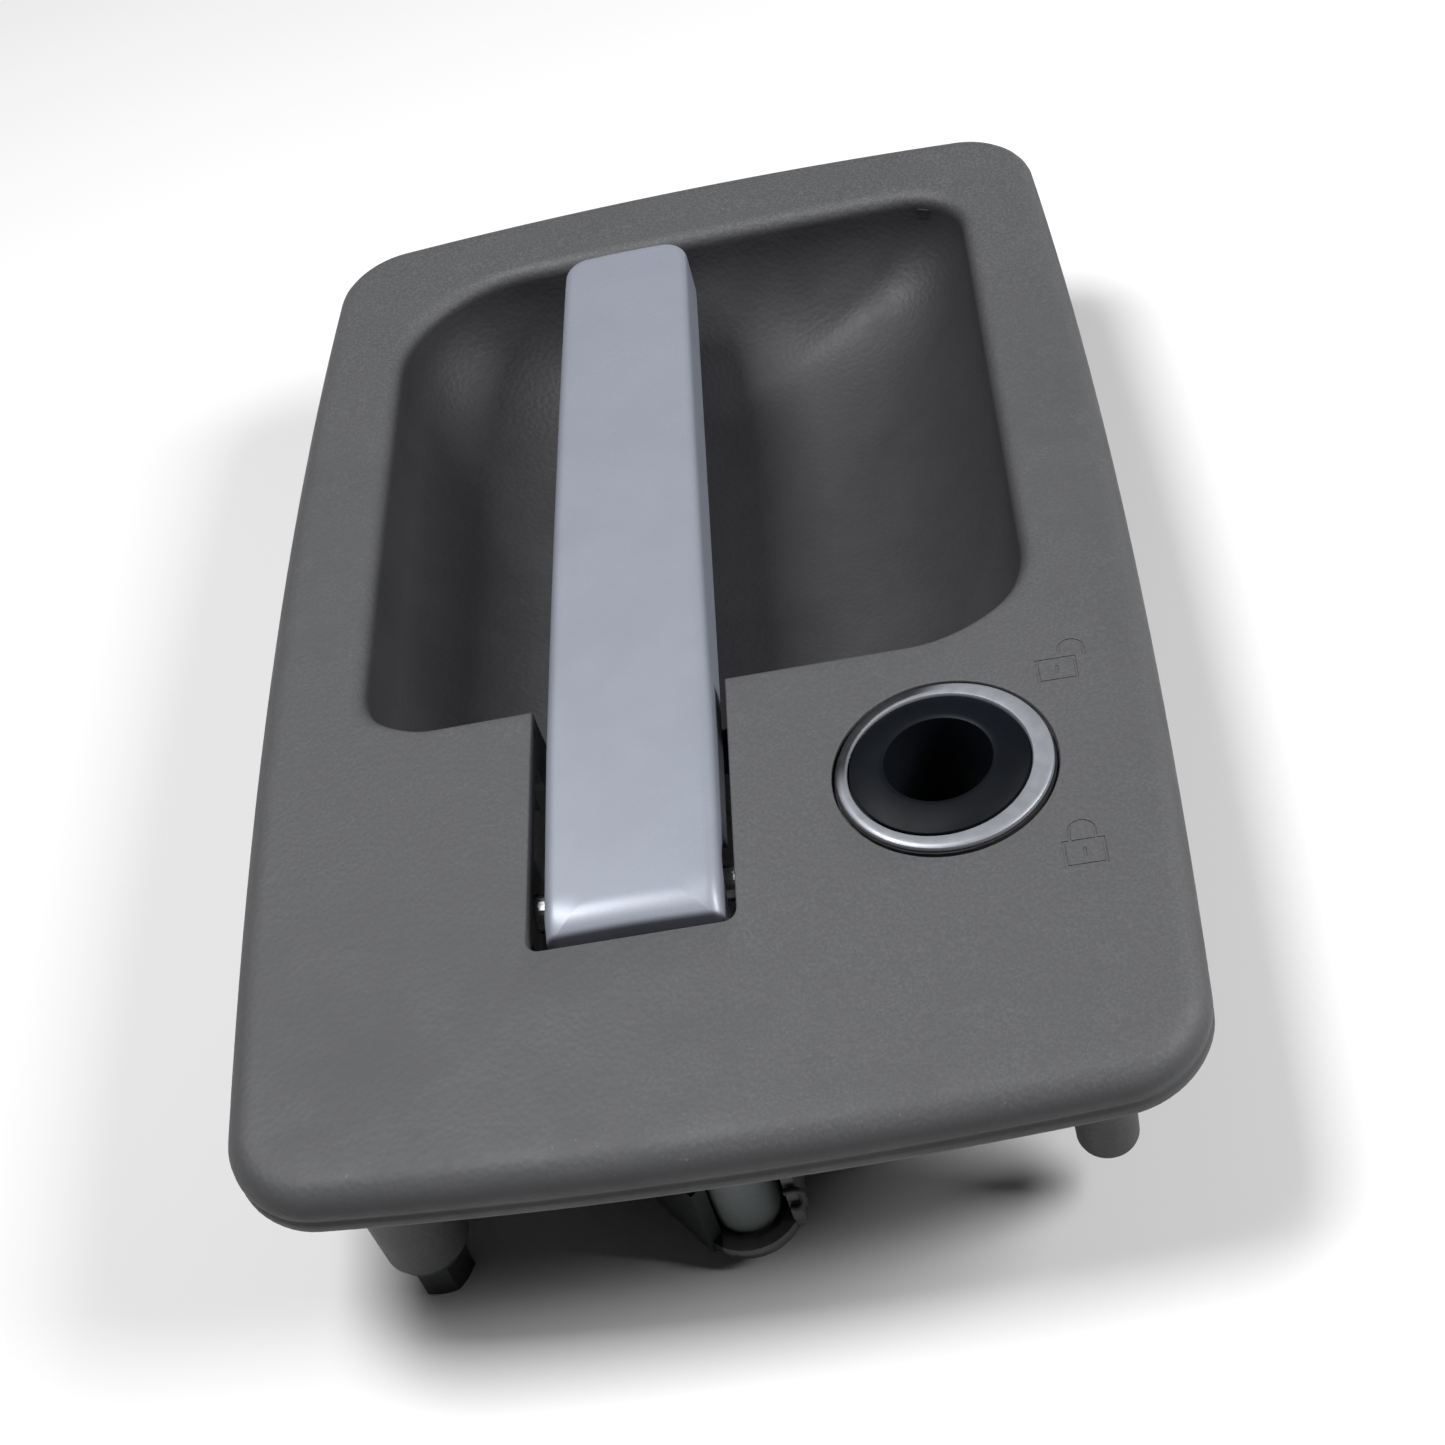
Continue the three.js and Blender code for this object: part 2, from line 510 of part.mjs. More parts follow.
function mechanismBracket() {
  const { x0, x1, y0, y1, z0, z1 } = BRACKET;
  const plate = prism([
    [x0 + BRACKET.chamfer, y0], [x1 - BRACKET.chamfer, y0], [x1, y0 + BRACKET.chamfer], [x1, -70],
    [TRANSFER.x + 8, y1], [TRANSFER.x - 8, y1], [-2, -72], [x0, -72], [x0, y0 + BRACKET.chamfer],
  ], z0, z1);
  const cup = rod(CUP.x, CUP.y, CUP_Z.bottom, CUP_Z.lip, CUP.outer, CUP.outer, 32);
  const neck = block(CUP.x - CUP.outer, CUP.x + CUP.outer, CUP.y, y0 + 1, z0, z1);
  const cheek = block(CHEEK_PLATE.x0, CHEEK_PLATE.x1, CHEEK_PLATE.y0, CHEEK_PLATE.y1, z0, CHEEK_PLATE.top);
  const gusset = prism(GUSSET_PLAN, 0, FACE).intersect(prismY(GUSSET_SIDE, -120, -80));
  const [stopX0, stopX1] = [SPRING.x1 - STOP.half, SPRING.x1 + STOP.half];
  const legY = PIVOT.y - SPRING.r + SPRING.wireR + GAP;
  const stop = block(stopX0, stopX1, legY, STOP.y, z1 - 1, z1 + STOP.height);
  const stopRib = block(stopX0, stopX1, -73, STOP.y, z0, z1);
  const whole = join(plate, cup, neck, cheek, gusset, stop, stopRib);
  const holes = BRACKET_BOSS.at.map(([x, y]) => rod(x, y, z0 - 5, z1 + 5, SCREW.hole));
  return cut(
    whole,
    ...holes,
    rod(TRANSFER.x, TRANSFER.y, z0 - 1, z1 + 1, TRANSFER.pinR + GAP),
    block(ROD_WINDOW.x0, ROD_WINDOW.x1, ROD_WINDOW.y0, ROD_WINDOW.y1, z0 - 1, z1 + 1),
    rod(CUP.x, CUP.y, CUP_Z.floor, FACE, CUP.inner, CUP.inner, 32),
    rod(CUP.x, CUP.y, CUP_Z.bottom - 1, CUP_Z.floor + 1, SCREW.hole),
  );
}

// A pan-head screw driven upwards; seat is the face that its head bears on.
function bracketScrew(x, y, seat, headT, headR) {
  const head = rod(x, y, seat - headT, seat, headR, headR, 20);
  const shank = rod(x, y, seat - 0.5, seat + 3 + SCREW.depth - 1.5, SCREW.shank, SCREW.shank, 16);
  const slots = [[2.6, 0.5], [0.5, 2.6]].map(([dx, dy]) => {
    return block(x - dx, x + dx, y - dy, y + dy, seat - headT - 1, seat - headT + 0.9);
  });
  return cut(join(head, shank), ...slots);
}

// A two-armed lever on its pin: the crank pushes the tab, and the rod arm pulls the latch rod.
function transferLever() {
  const { x, y, hub, z0, z1 } = TRANSFER;
  const arm = prism([
    [x, y - 4.5], [x, y + 4.5], [TAB.x0, TAB.y1], [TAB.x0, TAB.y1 - 5.5], [-10, y - 3.2],
  ], z0, z1);
  const tab = block(TAB.x0, TAB.x1, TAB.y0, TAB.y1, z1 - 1, TAB.z1);
  const relief = block(TAB.x0 - 1, TAB.x1 - 0.6, PIVOT.y - 9, TAB.y0, z0 - 1, z1 + 1);
  const rodArm = prism([[x - 4, y], [x - 3.4, ROD_ARM.y], [x + 3.4, ROD_ARM.y], [x + 4, y]], z0, z1);
  const eye = rod(x, ROD_ARM.y, z0, z1, ROD_ARM.r);
  const collar = rod(x, y, BRACKET.z1 + GAP, z1 + 3, hub);
  return cut(
    join(cut(join(arm, tab), relief), rodArm, eye, collar),
    rod(x, y, z0 - 9, z1 + 9, TRANSFER.pinR + GAP / 2),
    rod(x, ROD_ARM.y, z0 - 1, z1 + 1, ROD_ARM.hole),
  );
}

function transferPin() {
  const { x, y, z1, pinR } = TRANSFER;
  const head = rod(x, y, BRACKET.z0 - GAP - 1.5, BRACKET.z0 - GAP, 4.2);
  const shaft = rod(x, y, BRACKET.z0 - GAP - 1, z1 + 6, pinR);
  const [g0, g1] = [z1 + 3.6, z1 + 4.8];
  const groove = cut(rod(x, y, g0, g1, 4), rod(x, y, g0 - 1, g1 + 1, 1.7));
  return cut(join(head, shaft), groove);
}

// A snap-in clip: its stem turns in the rod arm's eye, and the latch rod snaps into its channel.
function rodClip() {
  const { x, z0, z1 } = TRANSFER;
  const { halfX, halfY, height, channelR, mouthHalf } = ROD_CLIP;
  const y = ROD_ARM.y;
  const top = z0 - GAP;
  const channelZ = top - 2.6;
  const stem = rod(x, y, z0 - 1, z1 + 0.4, ROD_ARM.hole - 0.2, ROD_ARM.hole - 0.2, 20);
  const barb = rod(x, y, z1 + GAP, z1 + 1.7, 3.3, 2.2, 20);
  const saddle = block(x - halfX, x + halfX, y - halfY, y + halfY, top - height, top);
  const reach = halfX + 1;
  const channel = rodX(x - reach, x + reach, y, channelZ, channelR, 16);
  const mouth = block(x - reach, x + reach, y - mouthHalf, y + mouthHalf, top - height - 1, channelZ);
  return cut(join(stem, barb, saddle), channel, mouth);
}

// ---- Lock sleeve, bezel and driver ----

function lockSleeve() {
  const z = (drop) => LOCK.z - drop;
  const shaftHole = DRIVER.shaft + GAP;
  return turned(LOCK.x, LOCK.y, [
    [SLEEVE.bore, z(0.4 - SLEEVE.crest)], [SLEEVE.bore + 0.7, z(-SLEEVE.crest)],
    [SLEEVE.flange, z(-BEZEL.height)], [SLEEVE.flange, z(0.85)],
    [SLEEVE.body, z(0.85)], [SLEEVE.body, z(4.2)], [SLEEVE.groove, z(4.2)], [SLEEVE.groove, z(6.2)],
    [SLEEVE.body, z(6.2)], [SLEEVE.body, z(24)], [SLEEVE.body - 2, z(SLEEVE.rear)],
    [shaftHole, z(SLEEVE.rear)], [shaftHole, z(SLEEVE.floor)], [SLEEVE.bore, z(SLEEVE.floor)],
  ], 40);
}

function lockBezel() {
  const z = (drop) => LOCK.z - drop;
  return turned(LOCK.x, LOCK.y, [
    [BEZEL.inner, z(0.1)], [BEZEL.outer, z(0.1)], [BEZEL.outer, z(-BEZEL.height / 3)],
    [BEZEL.outer - 0.6, z(-BEZEL.height)], [BEZEL.inner + 0.3, z(-BEZEL.height)],
    [BEZEL.inner, z(0.3 - BEZEL.height)],
  ], 40);
}

function lockSeal() {
  const [inner, outer] = [BEZEL.inner, BEZEL.outer + GAP];
  const [z0, z1] = [LOCK.z - LOCK.seatDepth + 0.1, LOCK.z - GAP];
  return turned(LOCK.x, LOCK.y, [[inner, z0], [outer, z0], [outer, z1], [inner, z1]], 40);
}

// A flat spring fork pushed into the sleeve's groove against the fascia's back.
function sleeveClip() {
  const [z0, z1] = [LOCK.z - 5.9, LOCK.z - 4.5];
  const plate = block(LOCK.x - 16, LOCK.x + 16, LOCK.y - 17, LOCK.y + 14, z0, z1);
  const mouth = SLEEVE.groove + GAP;
  return cut(
    plate,
    rod(LOCK.x, LOCK.y, z0 - 1, z1 + 1, mouth, mouth, 32),
    block(LOCK.x - mouth + 0.6, LOCK.x + mouth - 0.6, LOCK.y - 18, LOCK.y, z0 - 1, z1 + 1),
  );
}

function lockDriver() {
  const z = (drop) => LOCK.z - drop;
  const body = turned(LOCK.x, LOCK.y, [
    [0, z(DRIVER.end)], [2, z(DRIVER.end)], [2, z(31.8)], [1.5, z(31.8)], [1.5, z(30.8)], [2, z(30.8)],
    [2, z(28)], [DRIVER.shaft, z(27)], [DRIVER.shaft, z(SLEEVE.floor - GAP)],
    [DRIVER.r, z(SLEEVE.floor - GAP)], [DRIVER.r, z(DRIVER.top)], [0, z(DRIVER.top)],
  ], 24);
  const [slotHalf, slotDepth] = [5.5, 1.2];
  const slotZ = [z(DRIVER.top + slotDepth), z(DRIVER.top - 1)];
  const slot = block(LOCK.x - slotHalf, LOCK.x + slotHalf, LOCK.y - 0.9, LOCK.y + 0.9, ...slotZ);
  const tang = block(LOCK.x - 1.7, LOCK.x + 1.7, LOCK.y - 2, LOCK.y + 2, z(DRIVER.end), z(27.5));
  const neck = rod(LOCK.x, LOCK.y, z(31.8), z(30.8), 4).subtract(rod(LOCK.x, LOCK.y, z(33), z(30), 1.5));
  return cut(join(cut(body, slot), tang), neck);
}

function lockTail() {
  const [z0, z1] = [LOCK.z - TAIL.z0, LOCK.z - TAIL.z1];
  const y = LOCK.y - TAIL.length;
  const blade = prism([
    [LOCK.x - 5, LOCK.y], [LOCK.x - 3.4, y], [LOCK.x + 3.4, y], [LOCK.x + 5, LOCK.y],
  ], z0, z1);
  const ends = [rod(LOCK.x, LOCK.y, z0, z1, 5.4), rod(LOCK.x, y, z0, z1, 3.6)];
  const eye = rod(LOCK.x, y, z0 - 1, z1 + 1, 1.7, 1.7, 16);
  const flats = rod(LOCK.x, LOCK.y, z0 - 1, z1 + 1, 2.6 + GAP);
  return cut(join(blade, ...ends), eye, flats);
}

// ---- Fixings ----

function threadedInsert([x, y]) {
  const z0 = BOLT_BOSS.end + 0.1;
  const sleeve = rod(x, y, z0, z0 + INSERT.length, INSERT.outer);
  return cut(sleeve, rod(x, y, z0 - 1, z0 + INSERT.length + 1, INSERT.inner));
}

function mountingBolt([x, y]) {
  const seat = BOLT_BOSS.end - GAP;
  const washer = rod(x, y, seat - BOLT.washerT, seat, BOLT.washerR, BOLT.washerR, 28);
  const hex = rod(x, y, 0, seat - BOLT.washerT + 0.1, BOLT.hexR, BOLT.hexR, 6);
  const shank = rod(x, y, seat - 0.5, BOLT_BOSS.end + BOLT.shank, BOLT.shankR, BOLT.shankR, 18);
  return join(washer, hex, shank);
}

// ---- Assembly ----

const handle = new THREE.Group();

function piece(name, body, material, place) {
  const mesh = new THREE.Mesh(geometryOf(body), material);
  mesh.name = name;
  if (place) place(mesh);
  handle.add(mesh);
}

piece("fascia_housing", fasciaHousing(), charcoal);
piece("perimeter_seal", perimeterSeal(), rubber);

piece("lever_cover", leverCover(), silver);
piece("lever_carrier", leverCarrier(), black);
COVER_SCREW_Y.forEach((y, i) => piece(`cover_screw_${i + 1}`, coverScrew(y), darkSteel));
piece("hinge_bush_left", hingeBush(-1), acetal);
piece("hinge_bush_right", hingeBush(1), acetal);
piece("hinge_pin", hingePin(), steel);
piece("hinge_pin_clip", snapRing(2.1, PIN_HEAD_R, 0.9, 3), darkSteel, (mesh) => {
  mesh.rotation.y = Math.PI / 2;
  mesh.position.set(PIN_ENDS.tail - 1.8, PIVOT.y, PIVOT.z);
});
piece("return_spring", returnSpring(), steel);
piece("bump_stop_left", bumpStop(BUMP_STOP_X.left), rubber);
piece("bump_stop_right", bumpStop(BUMP_STOP_X.right), rubber);

piece("mechanism_bracket", mechanismBracket(), black);
BRACKET_BOSS.at.forEach(([x, y], i) => {
  const head = BRACKET.z0 - GAP;
  piece(`bracket_screw_${i + 1}`, bracketScrew(x, y, head, head, SCREW.head), darkSteel);
});
piece("cup_screw", bracketScrew(CUP.x, CUP.y, CUP_Z.bottom - GAP, 1.6, 3.7), darkSteel);
piece("transfer_lever", transferLever(), darkSteel);
piece("transfer_pin", transferPin(), steel);
piece("transfer_pin_clip", snapRing(1.8, 3.8, 0.9, 2.6), darkSteel, (mesh) => {
  mesh.position.set(TRANSFER.x, TRANSFER.y, TRANSFER.z1 + 4.2);
});
piece("rod_clip", rodClip(), acetal);

piece("lock_sleeve", lockSleeve(), black);
piece("lock_bezel_ring", lockBezel(), ringMetal);
piece("lock_seal", lockSeal(), rubber);
piece("sleeve_clip", sleeveClip(), steel);
piece("lock_driver", lockDriver(), steel);
piece("lock_tail", lockTail(), darkSteel);
piece("lock_tail_clip", snapRing(1.6, 3.4, 0.8, 2.4), darkSteel, (mesh) => {
  mesh.position.set(LOCK.x, LOCK.y, LOCK.z - 31.3);
});

BOLT_BOSS.at.forEach((at, i) => {
  const corner = ["lower_left", "upper_left", "upper_right"][i];
  piece(`threaded_insert_${corner}`, threadedInsert(at), brass);
  piece(`mounting_bolt_${corner}`, mountingBolt(at), darkSteel);
});

export default handle;
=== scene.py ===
"""A flush car door handle: fascia with a finger well, pull lever, lock sleeve, rear fixings.

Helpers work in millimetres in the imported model's frame, and a mesh becomes metres when it is made.
+X runs across the fascia, +Y towards the lever's free end, +Z out of its face.
"""

import math

import bpy
from mathutils import Matrix, Vector


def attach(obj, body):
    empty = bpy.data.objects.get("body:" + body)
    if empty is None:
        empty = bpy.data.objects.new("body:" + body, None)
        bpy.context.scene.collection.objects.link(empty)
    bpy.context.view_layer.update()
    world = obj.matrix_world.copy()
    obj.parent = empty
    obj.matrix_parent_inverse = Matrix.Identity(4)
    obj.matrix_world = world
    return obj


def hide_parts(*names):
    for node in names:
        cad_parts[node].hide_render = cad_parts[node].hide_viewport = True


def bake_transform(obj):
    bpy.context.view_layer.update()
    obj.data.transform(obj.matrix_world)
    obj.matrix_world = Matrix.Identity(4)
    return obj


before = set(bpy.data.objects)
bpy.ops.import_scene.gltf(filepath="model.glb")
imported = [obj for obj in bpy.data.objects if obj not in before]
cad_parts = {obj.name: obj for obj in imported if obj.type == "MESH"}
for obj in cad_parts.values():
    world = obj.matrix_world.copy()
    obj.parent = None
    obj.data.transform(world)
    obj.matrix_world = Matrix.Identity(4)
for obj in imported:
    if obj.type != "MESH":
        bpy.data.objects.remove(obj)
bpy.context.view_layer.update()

MM = 0.001

# ---- Dimensions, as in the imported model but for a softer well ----

FACE = 46.0
GAP = 0.3
WALL = 3.0
HALF_X, HALF_Y, BULGE_X, BULGE_Y, PLATE_CORNER, PLATE_EDGE = 70.0, 113.0, 3.6, 3.3, 13.0, 4.5
CROWN_X, CROWN_Y = 0.63, 2.47
RIM = FACE - 11.3

WELL_X0, WELL_X1, WELL_Y0, WELL_Y1 = -55.0, 55.5, -29.0, 95.0
WELL_CORNERS = (20.0, 12.0, 25.0, 13.0)
CORNER_GROWTH = (0.35, 2.0, 0.35, 0.35)
WIDEST_CORNER = 0.49
BOWL_DEPTH, BOWL_LEFT, BOWL_RIGHT, BOWL_BOTTOM, BOWL_TOP = 30.5, 24.0, 44.0, 12.0, 38.0
SOFT_LIP, CRISP_LIP = 3.0, 0.9

SLOT_X0, SLOT_X1, SLOT_END, SLOT_TOP, SLOT_DEPTH = -25.6, 5.4, -77.5, -23.0, 13.0
PIVOT = Vector((-9.2, -65.0, FACE - 8))
SLOT_END_R = 14.3
CHEEK, CHEEK_Y0, CHEEK_Y1, CHEEK_DEPTH = 3.4, -73.0, -57.0, 14.5
SHELF_Y0, SHELF_Y1, SHELF_Z0, SHELF_Z1 = -38.0, -30.0, FACE - 16, FACE - 13
MOUTH_WIDER, MOUTH_DEPTH = 0.8, 7.0

LEVER_TIP, TIP_HALF, ROOT_HALF, TAPER_FROM = 88.5, 12.0, 13.5, -40.0
LEVER_END = -78.4
COVER_FLOOR = FACE - 7
COVER_SCREW_Y = (-25.0, 62.0)
PIN_R = 2.8

RIB_T, RIB_Z0, RIB_Z1 = 1.6, FACE - 7.4, FACE - 3.4
RIBS_X = [(-63, 63, -101), (-63, 63, -88), (-66, -34, -52)]
RIBS_Y = [(-107, -34, -46), (-107, -73, -27.3), (-107, -57, 14), (-107, -34, 60)]

BOLT_AT = {"lower_left": (-50.1, -101.0), "upper_left": (-52.0, 100.0),
           "upper_right": (52.0, 100.0)}
BOSS_R, BOSS_END = 6.7, FACE - 36
POST_X, POST_Y, POST_R, POST_END = 53.8, -101.0, 4.6, FACE - 36
BRACKET_Z1 = FACE - 38
BRACKET_SCREWS = [(-24.5, -88.0), (24.5, -88.0)]
CUP_X, CUP_Y, CUP_BOSS_END = -0.8, -100.8, FACE - 40
SCREW_HOLE, SCREW_DEPTH = 2.2, 12.0

LOCK_X, LOCK_Y, LOCK_Z = 39.0, -55.0, FACE - 0.8
LOCK_HOLE, LOCK_SEAT, SEAT_DEPTH = 13.2, 17.2, 1.2
FACE_SHIFT = Vector((-0.75, 0.1))


# ---- Meshes ----

def mesh_object(name, points, faces, smooth=32.0):
    """An object in the row's frame from millimetre points, smooth but for its sharper edges."""
    mesh = bpy.data.meshes.new(name)
    mesh.from_pydata([Vector(p) * MM for p in points], [], faces)
    mesh.validate()
    shade(mesh, smooth)
    obj = bpy.data.objects.new(name, mesh)
    bpy.context.scene.collection.objects.link(obj)
    return obj


def shade(mesh, angle):
    mesh.polygons.foreach_set("use_smooth", [True] * len(mesh.polygons))
    mesh.set_sharp_from_angle(angle=math.radians(angle))


def volume(points, faces):
    total = 0.0
    for face in faces:
        a = Vector(points[face[0]])
        for i in range(1, len(face) - 1):
            total += a.dot(Vector(points[face[i]]).cross(Vector(points[face[i + 1]])))
    return total


def outward(points, faces):
    return faces if volume(points, faces) > 0 else [tuple(reversed(f)) for f in faces]


def fan(ring, start, points):
    """A cap that meets at the middle of a ring."""
    n = len(ring)
    points.append(tuple(sum(c) / n for c in zip(*ring)))
    return [(len(points) - 1, start + i, start + (i + 1) % n) for i in range(n)]


def loft(name, rings, closed=False, smooth=32.0, cap=fan):
    """Rings of equal point count skinned into a closed body, capped or joined end to end."""
    n = len(rings[0])
    points = [p for ring in rings for p in ring]
    faces = []
    pairs = [(r, r + 1) for r in range(len(rings) - 1)]
    if closed:
        pairs.append((len(rings) - 1, 0))
    for r, s in pairs:
        for i in range(n):
            j = (i + 1) % n
            faces.append((r * n + i, r * n + j, s * n + j, s * n + i))
    if not closed:
        faces += [tuple(reversed(face)) for face in cap(rings[0], 0, points)]
        faces += cap(rings[-1], (len(rings) - 1) * n, points)
    return mesh_object(name, points, outward(points, faces), smooth)


def circle(x, y, z, r, sides):
    return [(x + r * math.cos(a), y + r * math.sin(a), z)
            for a in (2 * math.pi * k / sides for k in range(sides))]


def rod(x, y, z0, z1, r0, r1=None, sides=48):
    top_r = r0 if r1 is None else r1
    return loft("rod", [circle(x, y, z0, r0, sides), circle(x, y, z1, top_r, sides)])


def rod_x(x0, x1, y, z, r, sides=64):
    ring = [(y + r * math.cos(a), z + r * math.sin(a))
            for a in (2 * math.pi * k / sides for k in range(sides))]
    return loft("rod", [[(x, *p) for p in ring] for x in (x0, x1)])


def block(x0, x1, y0, y1, z0, z1):
    plan = [(x1, y0), (x1, y1), (x0, y1), (x0, y0)]
    return loft("block", [[(*p, z) for p in plan] for z in (z0, z1)])


def lathe(name, x, y, profile, moved, sides=128):
    """A closed [radius, z] profile turned about a vertical axis; moved(r, z) shifts each ring."""
    rings = []
    for r, z in profile:
        aside = moved(r, z)
        rings.append(circle(x + aside.x, y + aside.y, z, r, sides))
    return loft(name, rings, closed=True)


def combine(base, tools, operation):
    """Joins or cuts with a row of solids, and leaves one plain mesh."""
    for tool in tools:
        step = base.modifiers.new("solid", "BOOLEAN")
        step.operation = operation
        step.solver = "MANIFOLD"
        step.object = tool
    graph = bpy.context.evaluated_depsgraph_get()
    mesh = bpy.data.meshes.new_from_object(base.evaluated_get(graph))
    base.modifiers.clear()
    base.data = mesh
    for tool in tools:
        bpy.data.objects.remove(tool)
    shade(mesh, 32.0)
    return base


def rename(obj, name):
    obj.name = name
    obj.data.name = name
    return obj


# ---- Outlines ----

ARC_STEPS, SIDE_STEPS = 14, 22


def outline(x0, x1, y0, y1, corners):
    """A rounded rectangle, anticlockwise from its lower right corner, with its normals."""
    centres = [(x1, y0, -1, 1), (x1, y1, -1, -1), (x0, y1, 1, -1), (x0, y0, 1, 1)]
    arcs = []
    for i, (x, y, in_x, in_y) in enumerate(centres):
        r = corners[i]
        arc = []
        for k in range(ARC_STEPS + 1):
            angle = (i - 1 + k / ARC_STEPS) * math.pi / 2
            c, s = math.cos(angle), math.sin(angle)
            arc.append((x + in_x * r + r * c, y + in_y * r + r * s, c, s))
        arcs.append(arc)
    points = []
    for i, arc in enumerate(arcs):
        points += arc
        start, end = arc[-1], arcs[(i + 1) % 4][0]
        for k in range(1, SIDE_STEPS):
            points.append(tuple(a + (b - a) * k / SIDE_STEPS for a, b in zip(start, end)))
    return points


def face_height(x, y):
    return FACE - CROWN_X * (x / HALF_X) ** 2 - CROWN_Y * (y / HALF_Y) ** 2


def plate_outline(inset):
    hx, hy = HALF_X - inset, HALF_Y - inset
    corners = [max(PLATE_CORNER - inset, 2.0)] * 4
    return [(x * (1 + BULGE_X / HALF_X * (1 - (y / HALF_Y) ** 2)),
             y * (1 + BULGE_Y / HALF_Y * (1 - (x / HALF_X) ** 2)))
            for x, y, _, _ in outline(-hx, hx, -hy, hy, corners)]


def smoothstep(a, b, v):
    t = min(max((v - a) / (b - a), 0.0), 1.0)
    return t * t * (3 - 2 * t)


def well_outline(degrees, grow=None):
    """The well's outline at one angle of the bowl's quarter ellipse, grown along its normals."""
    reach = 1 - math.cos(math.radians(degrees))
    x0, x1 = WELL_X0 + BOWL_LEFT * reach, WELL_X1 - BOWL_RIGHT * reach
    corners = [min(r * (1 + more * reach), WIDEST_CORNER * (x1 - x0))
               for r, more in zip(WELL_CORNERS, CORNER_GROWTH)]
    points = outline(x0, x1, WELL_Y0 + BOWL_BOTTOM * reach, WELL_Y1 - BOWL_TOP * reach, corners)
    if grow is None:
        return points
    return [(x + nx * g, y + ny * g, nx, ny) for (x, y, nx, ny), g in zip(points, grow)]


LIPS = [SOFT_LIP + (CRISP_LIP - SOFT_LIP) * smoothstep(0.45, 0.95, -ny)
        for _, _, _, ny in well_outline(0)]


# ---- Fascia ----

def dropped(points, drops):
    return [(p[0], p[1], face_height(p[0], p[1]) - d) for p, d in zip(points, drops)]


def between(ring_a, ring_b, t):
    """A ring part of the way between two, in the plan and in its depth below the face."""
    ring = []
    for a, b in zip(ring_a, ring_b):
        x, y = a[0] + (b[0] - a[0]) * t, a[1] + (b[1] - a[1]) * t
        drop_a, drop_b = face_height(a[0], a[1]) - a[2], face_height(b[0], b[1]) - b[2]
        ring.append((x, y, face_height(x, y) - drop_a - (drop_b - drop_a) * t))
    return ring


def bowl_ring(degrees, offset):
    """A ring down the bowl's wall, on the front skin or offset to its back."""
    sine, cosine = math.sin(math.radians(degrees)), math.cos(math.radians(degrees))
    points = well_outline(degrees, [offset * cosine] * len(LIPS))
    return dropped(points, [lip + (BOWL_DEPTH - lip) * sine + offset * sine for lip in LIPS])


def fascia_skin():
    """The shell as one run of rings: bowl, lip, face, rounded edge, rim and the bowl's back."""
    n = len(LIPS)
    front = [bowl_ring(a, 0.0) for a in range(90, -1, -5)]
    for degrees in (75, 60, 45, 30, 15, 0):
        sine, cosine = math.sin(math.radians(degrees)), math.cos(math.radians(degrees))
        rounding = well_outline(0, [lip * (1 - sine) for lip in LIPS])
        front.append(dropped(rounding, [lip * (1 - cosine) for lip in LIPS]))
    edge = []
    for degrees in range(0, 91, 15):
        angle = math.radians(degrees)
        points = plate_outline(PLATE_EDGE * (1 - math.sin(angle)))
        edge.append(dropped(points, [PLATE_EDGE * (1 - math.cos(angle))] * n))
    lip = front[-1]
    face = [between(lip, edge[0], t) for t in (0.02, 0.12, 0.25, 0.4, 0.55, 0.7, 0.85, 0.97)]
    # Inset from the plate's outline and height above the rim's back: groove, bead, back edge.
    rim_profile = [(0.15, 3.5), (0.32, 3.0), (0.3, 2.7), (0.06, 2.3), (0.0, 1.9), (0.0, 1.1),
                   (0.2, 0.5), (0.7, 0.1), (1.2, 0.0), (WALL - 0.4, 0.0), (WALL, 0.4)]
    rim = [[(x, y, RIM + up) for x, y in plate_outline(inset)] for inset, up in rim_profile]
    inner = dropped(plate_outline(WALL), [WALL + 1] * n)
    back_lip = dropped(well_outline(0, [WALL + 2.0] * n), [WALL] * n)
    back = [between(inner, back_lip, t) for t in (0.06, 0.35, 0.65)]
    bowl_back = [bowl_ring(a, WALL) for a in range(0, 91, 9)]
    return loft("fascia", [*front, *face, *edge, *rim, inner, *back, back_lip, *bowl_back])


def lipped_cutter(plan, floor, lip):
    """A cutter through the face whose mouth flares by a small rounding that follows the crown."""
    rings = [[(x, y, floor) for x, y, _, _ in plan]]
    for degrees in (0, 22, 45, 67, 90):
        angle = math.radians(degrees)
        grow, drop = lip * (1 - math.cos(angle)), lip * (1 - math.sin(angle))
        rings.append([(x + nx * grow, y + ny * grow, face_height(x, y) - drop)
                      for x, y, nx, ny in plan])
    clear, rise = lip + 0.4, 3.0
    rings.append([(x + nx * clear, y + ny * clear, FACE + rise) for x, y, nx, ny in plan])
    return loft("cutter", rings)


def round_plan(x, y, r, sides=96):
    return [(x + r * math.cos(a), y + r * math.sin(a), math.cos(a), math.sin(a))
            for a in (2 * math.pi * k / sides for k in range(sides))]


def ribbon(path, width, depth):
    """A cutter for a shallow groove of even width along a path on the face."""
    rings = []
    for i, (x, y) in enumerate(path):
        before, after = path[max(i - 1, 0)], path[min(i + 1, len(path) - 1)]
        along = Vector((after[0] - before[0], after[1] - before[1])).normalized()
        side = Vector((-along.y, along.x)) * width / 2
        z = face_height(x, y)
        rings.append([(x + side.x, y + side.y, z - depth), (x - side.x, y - side.y, z - depth),
                      (x - side.x, y - side.y, z + 1), (x + side.x, y + side.y, z + 1)])
    return loft("groove", rings)


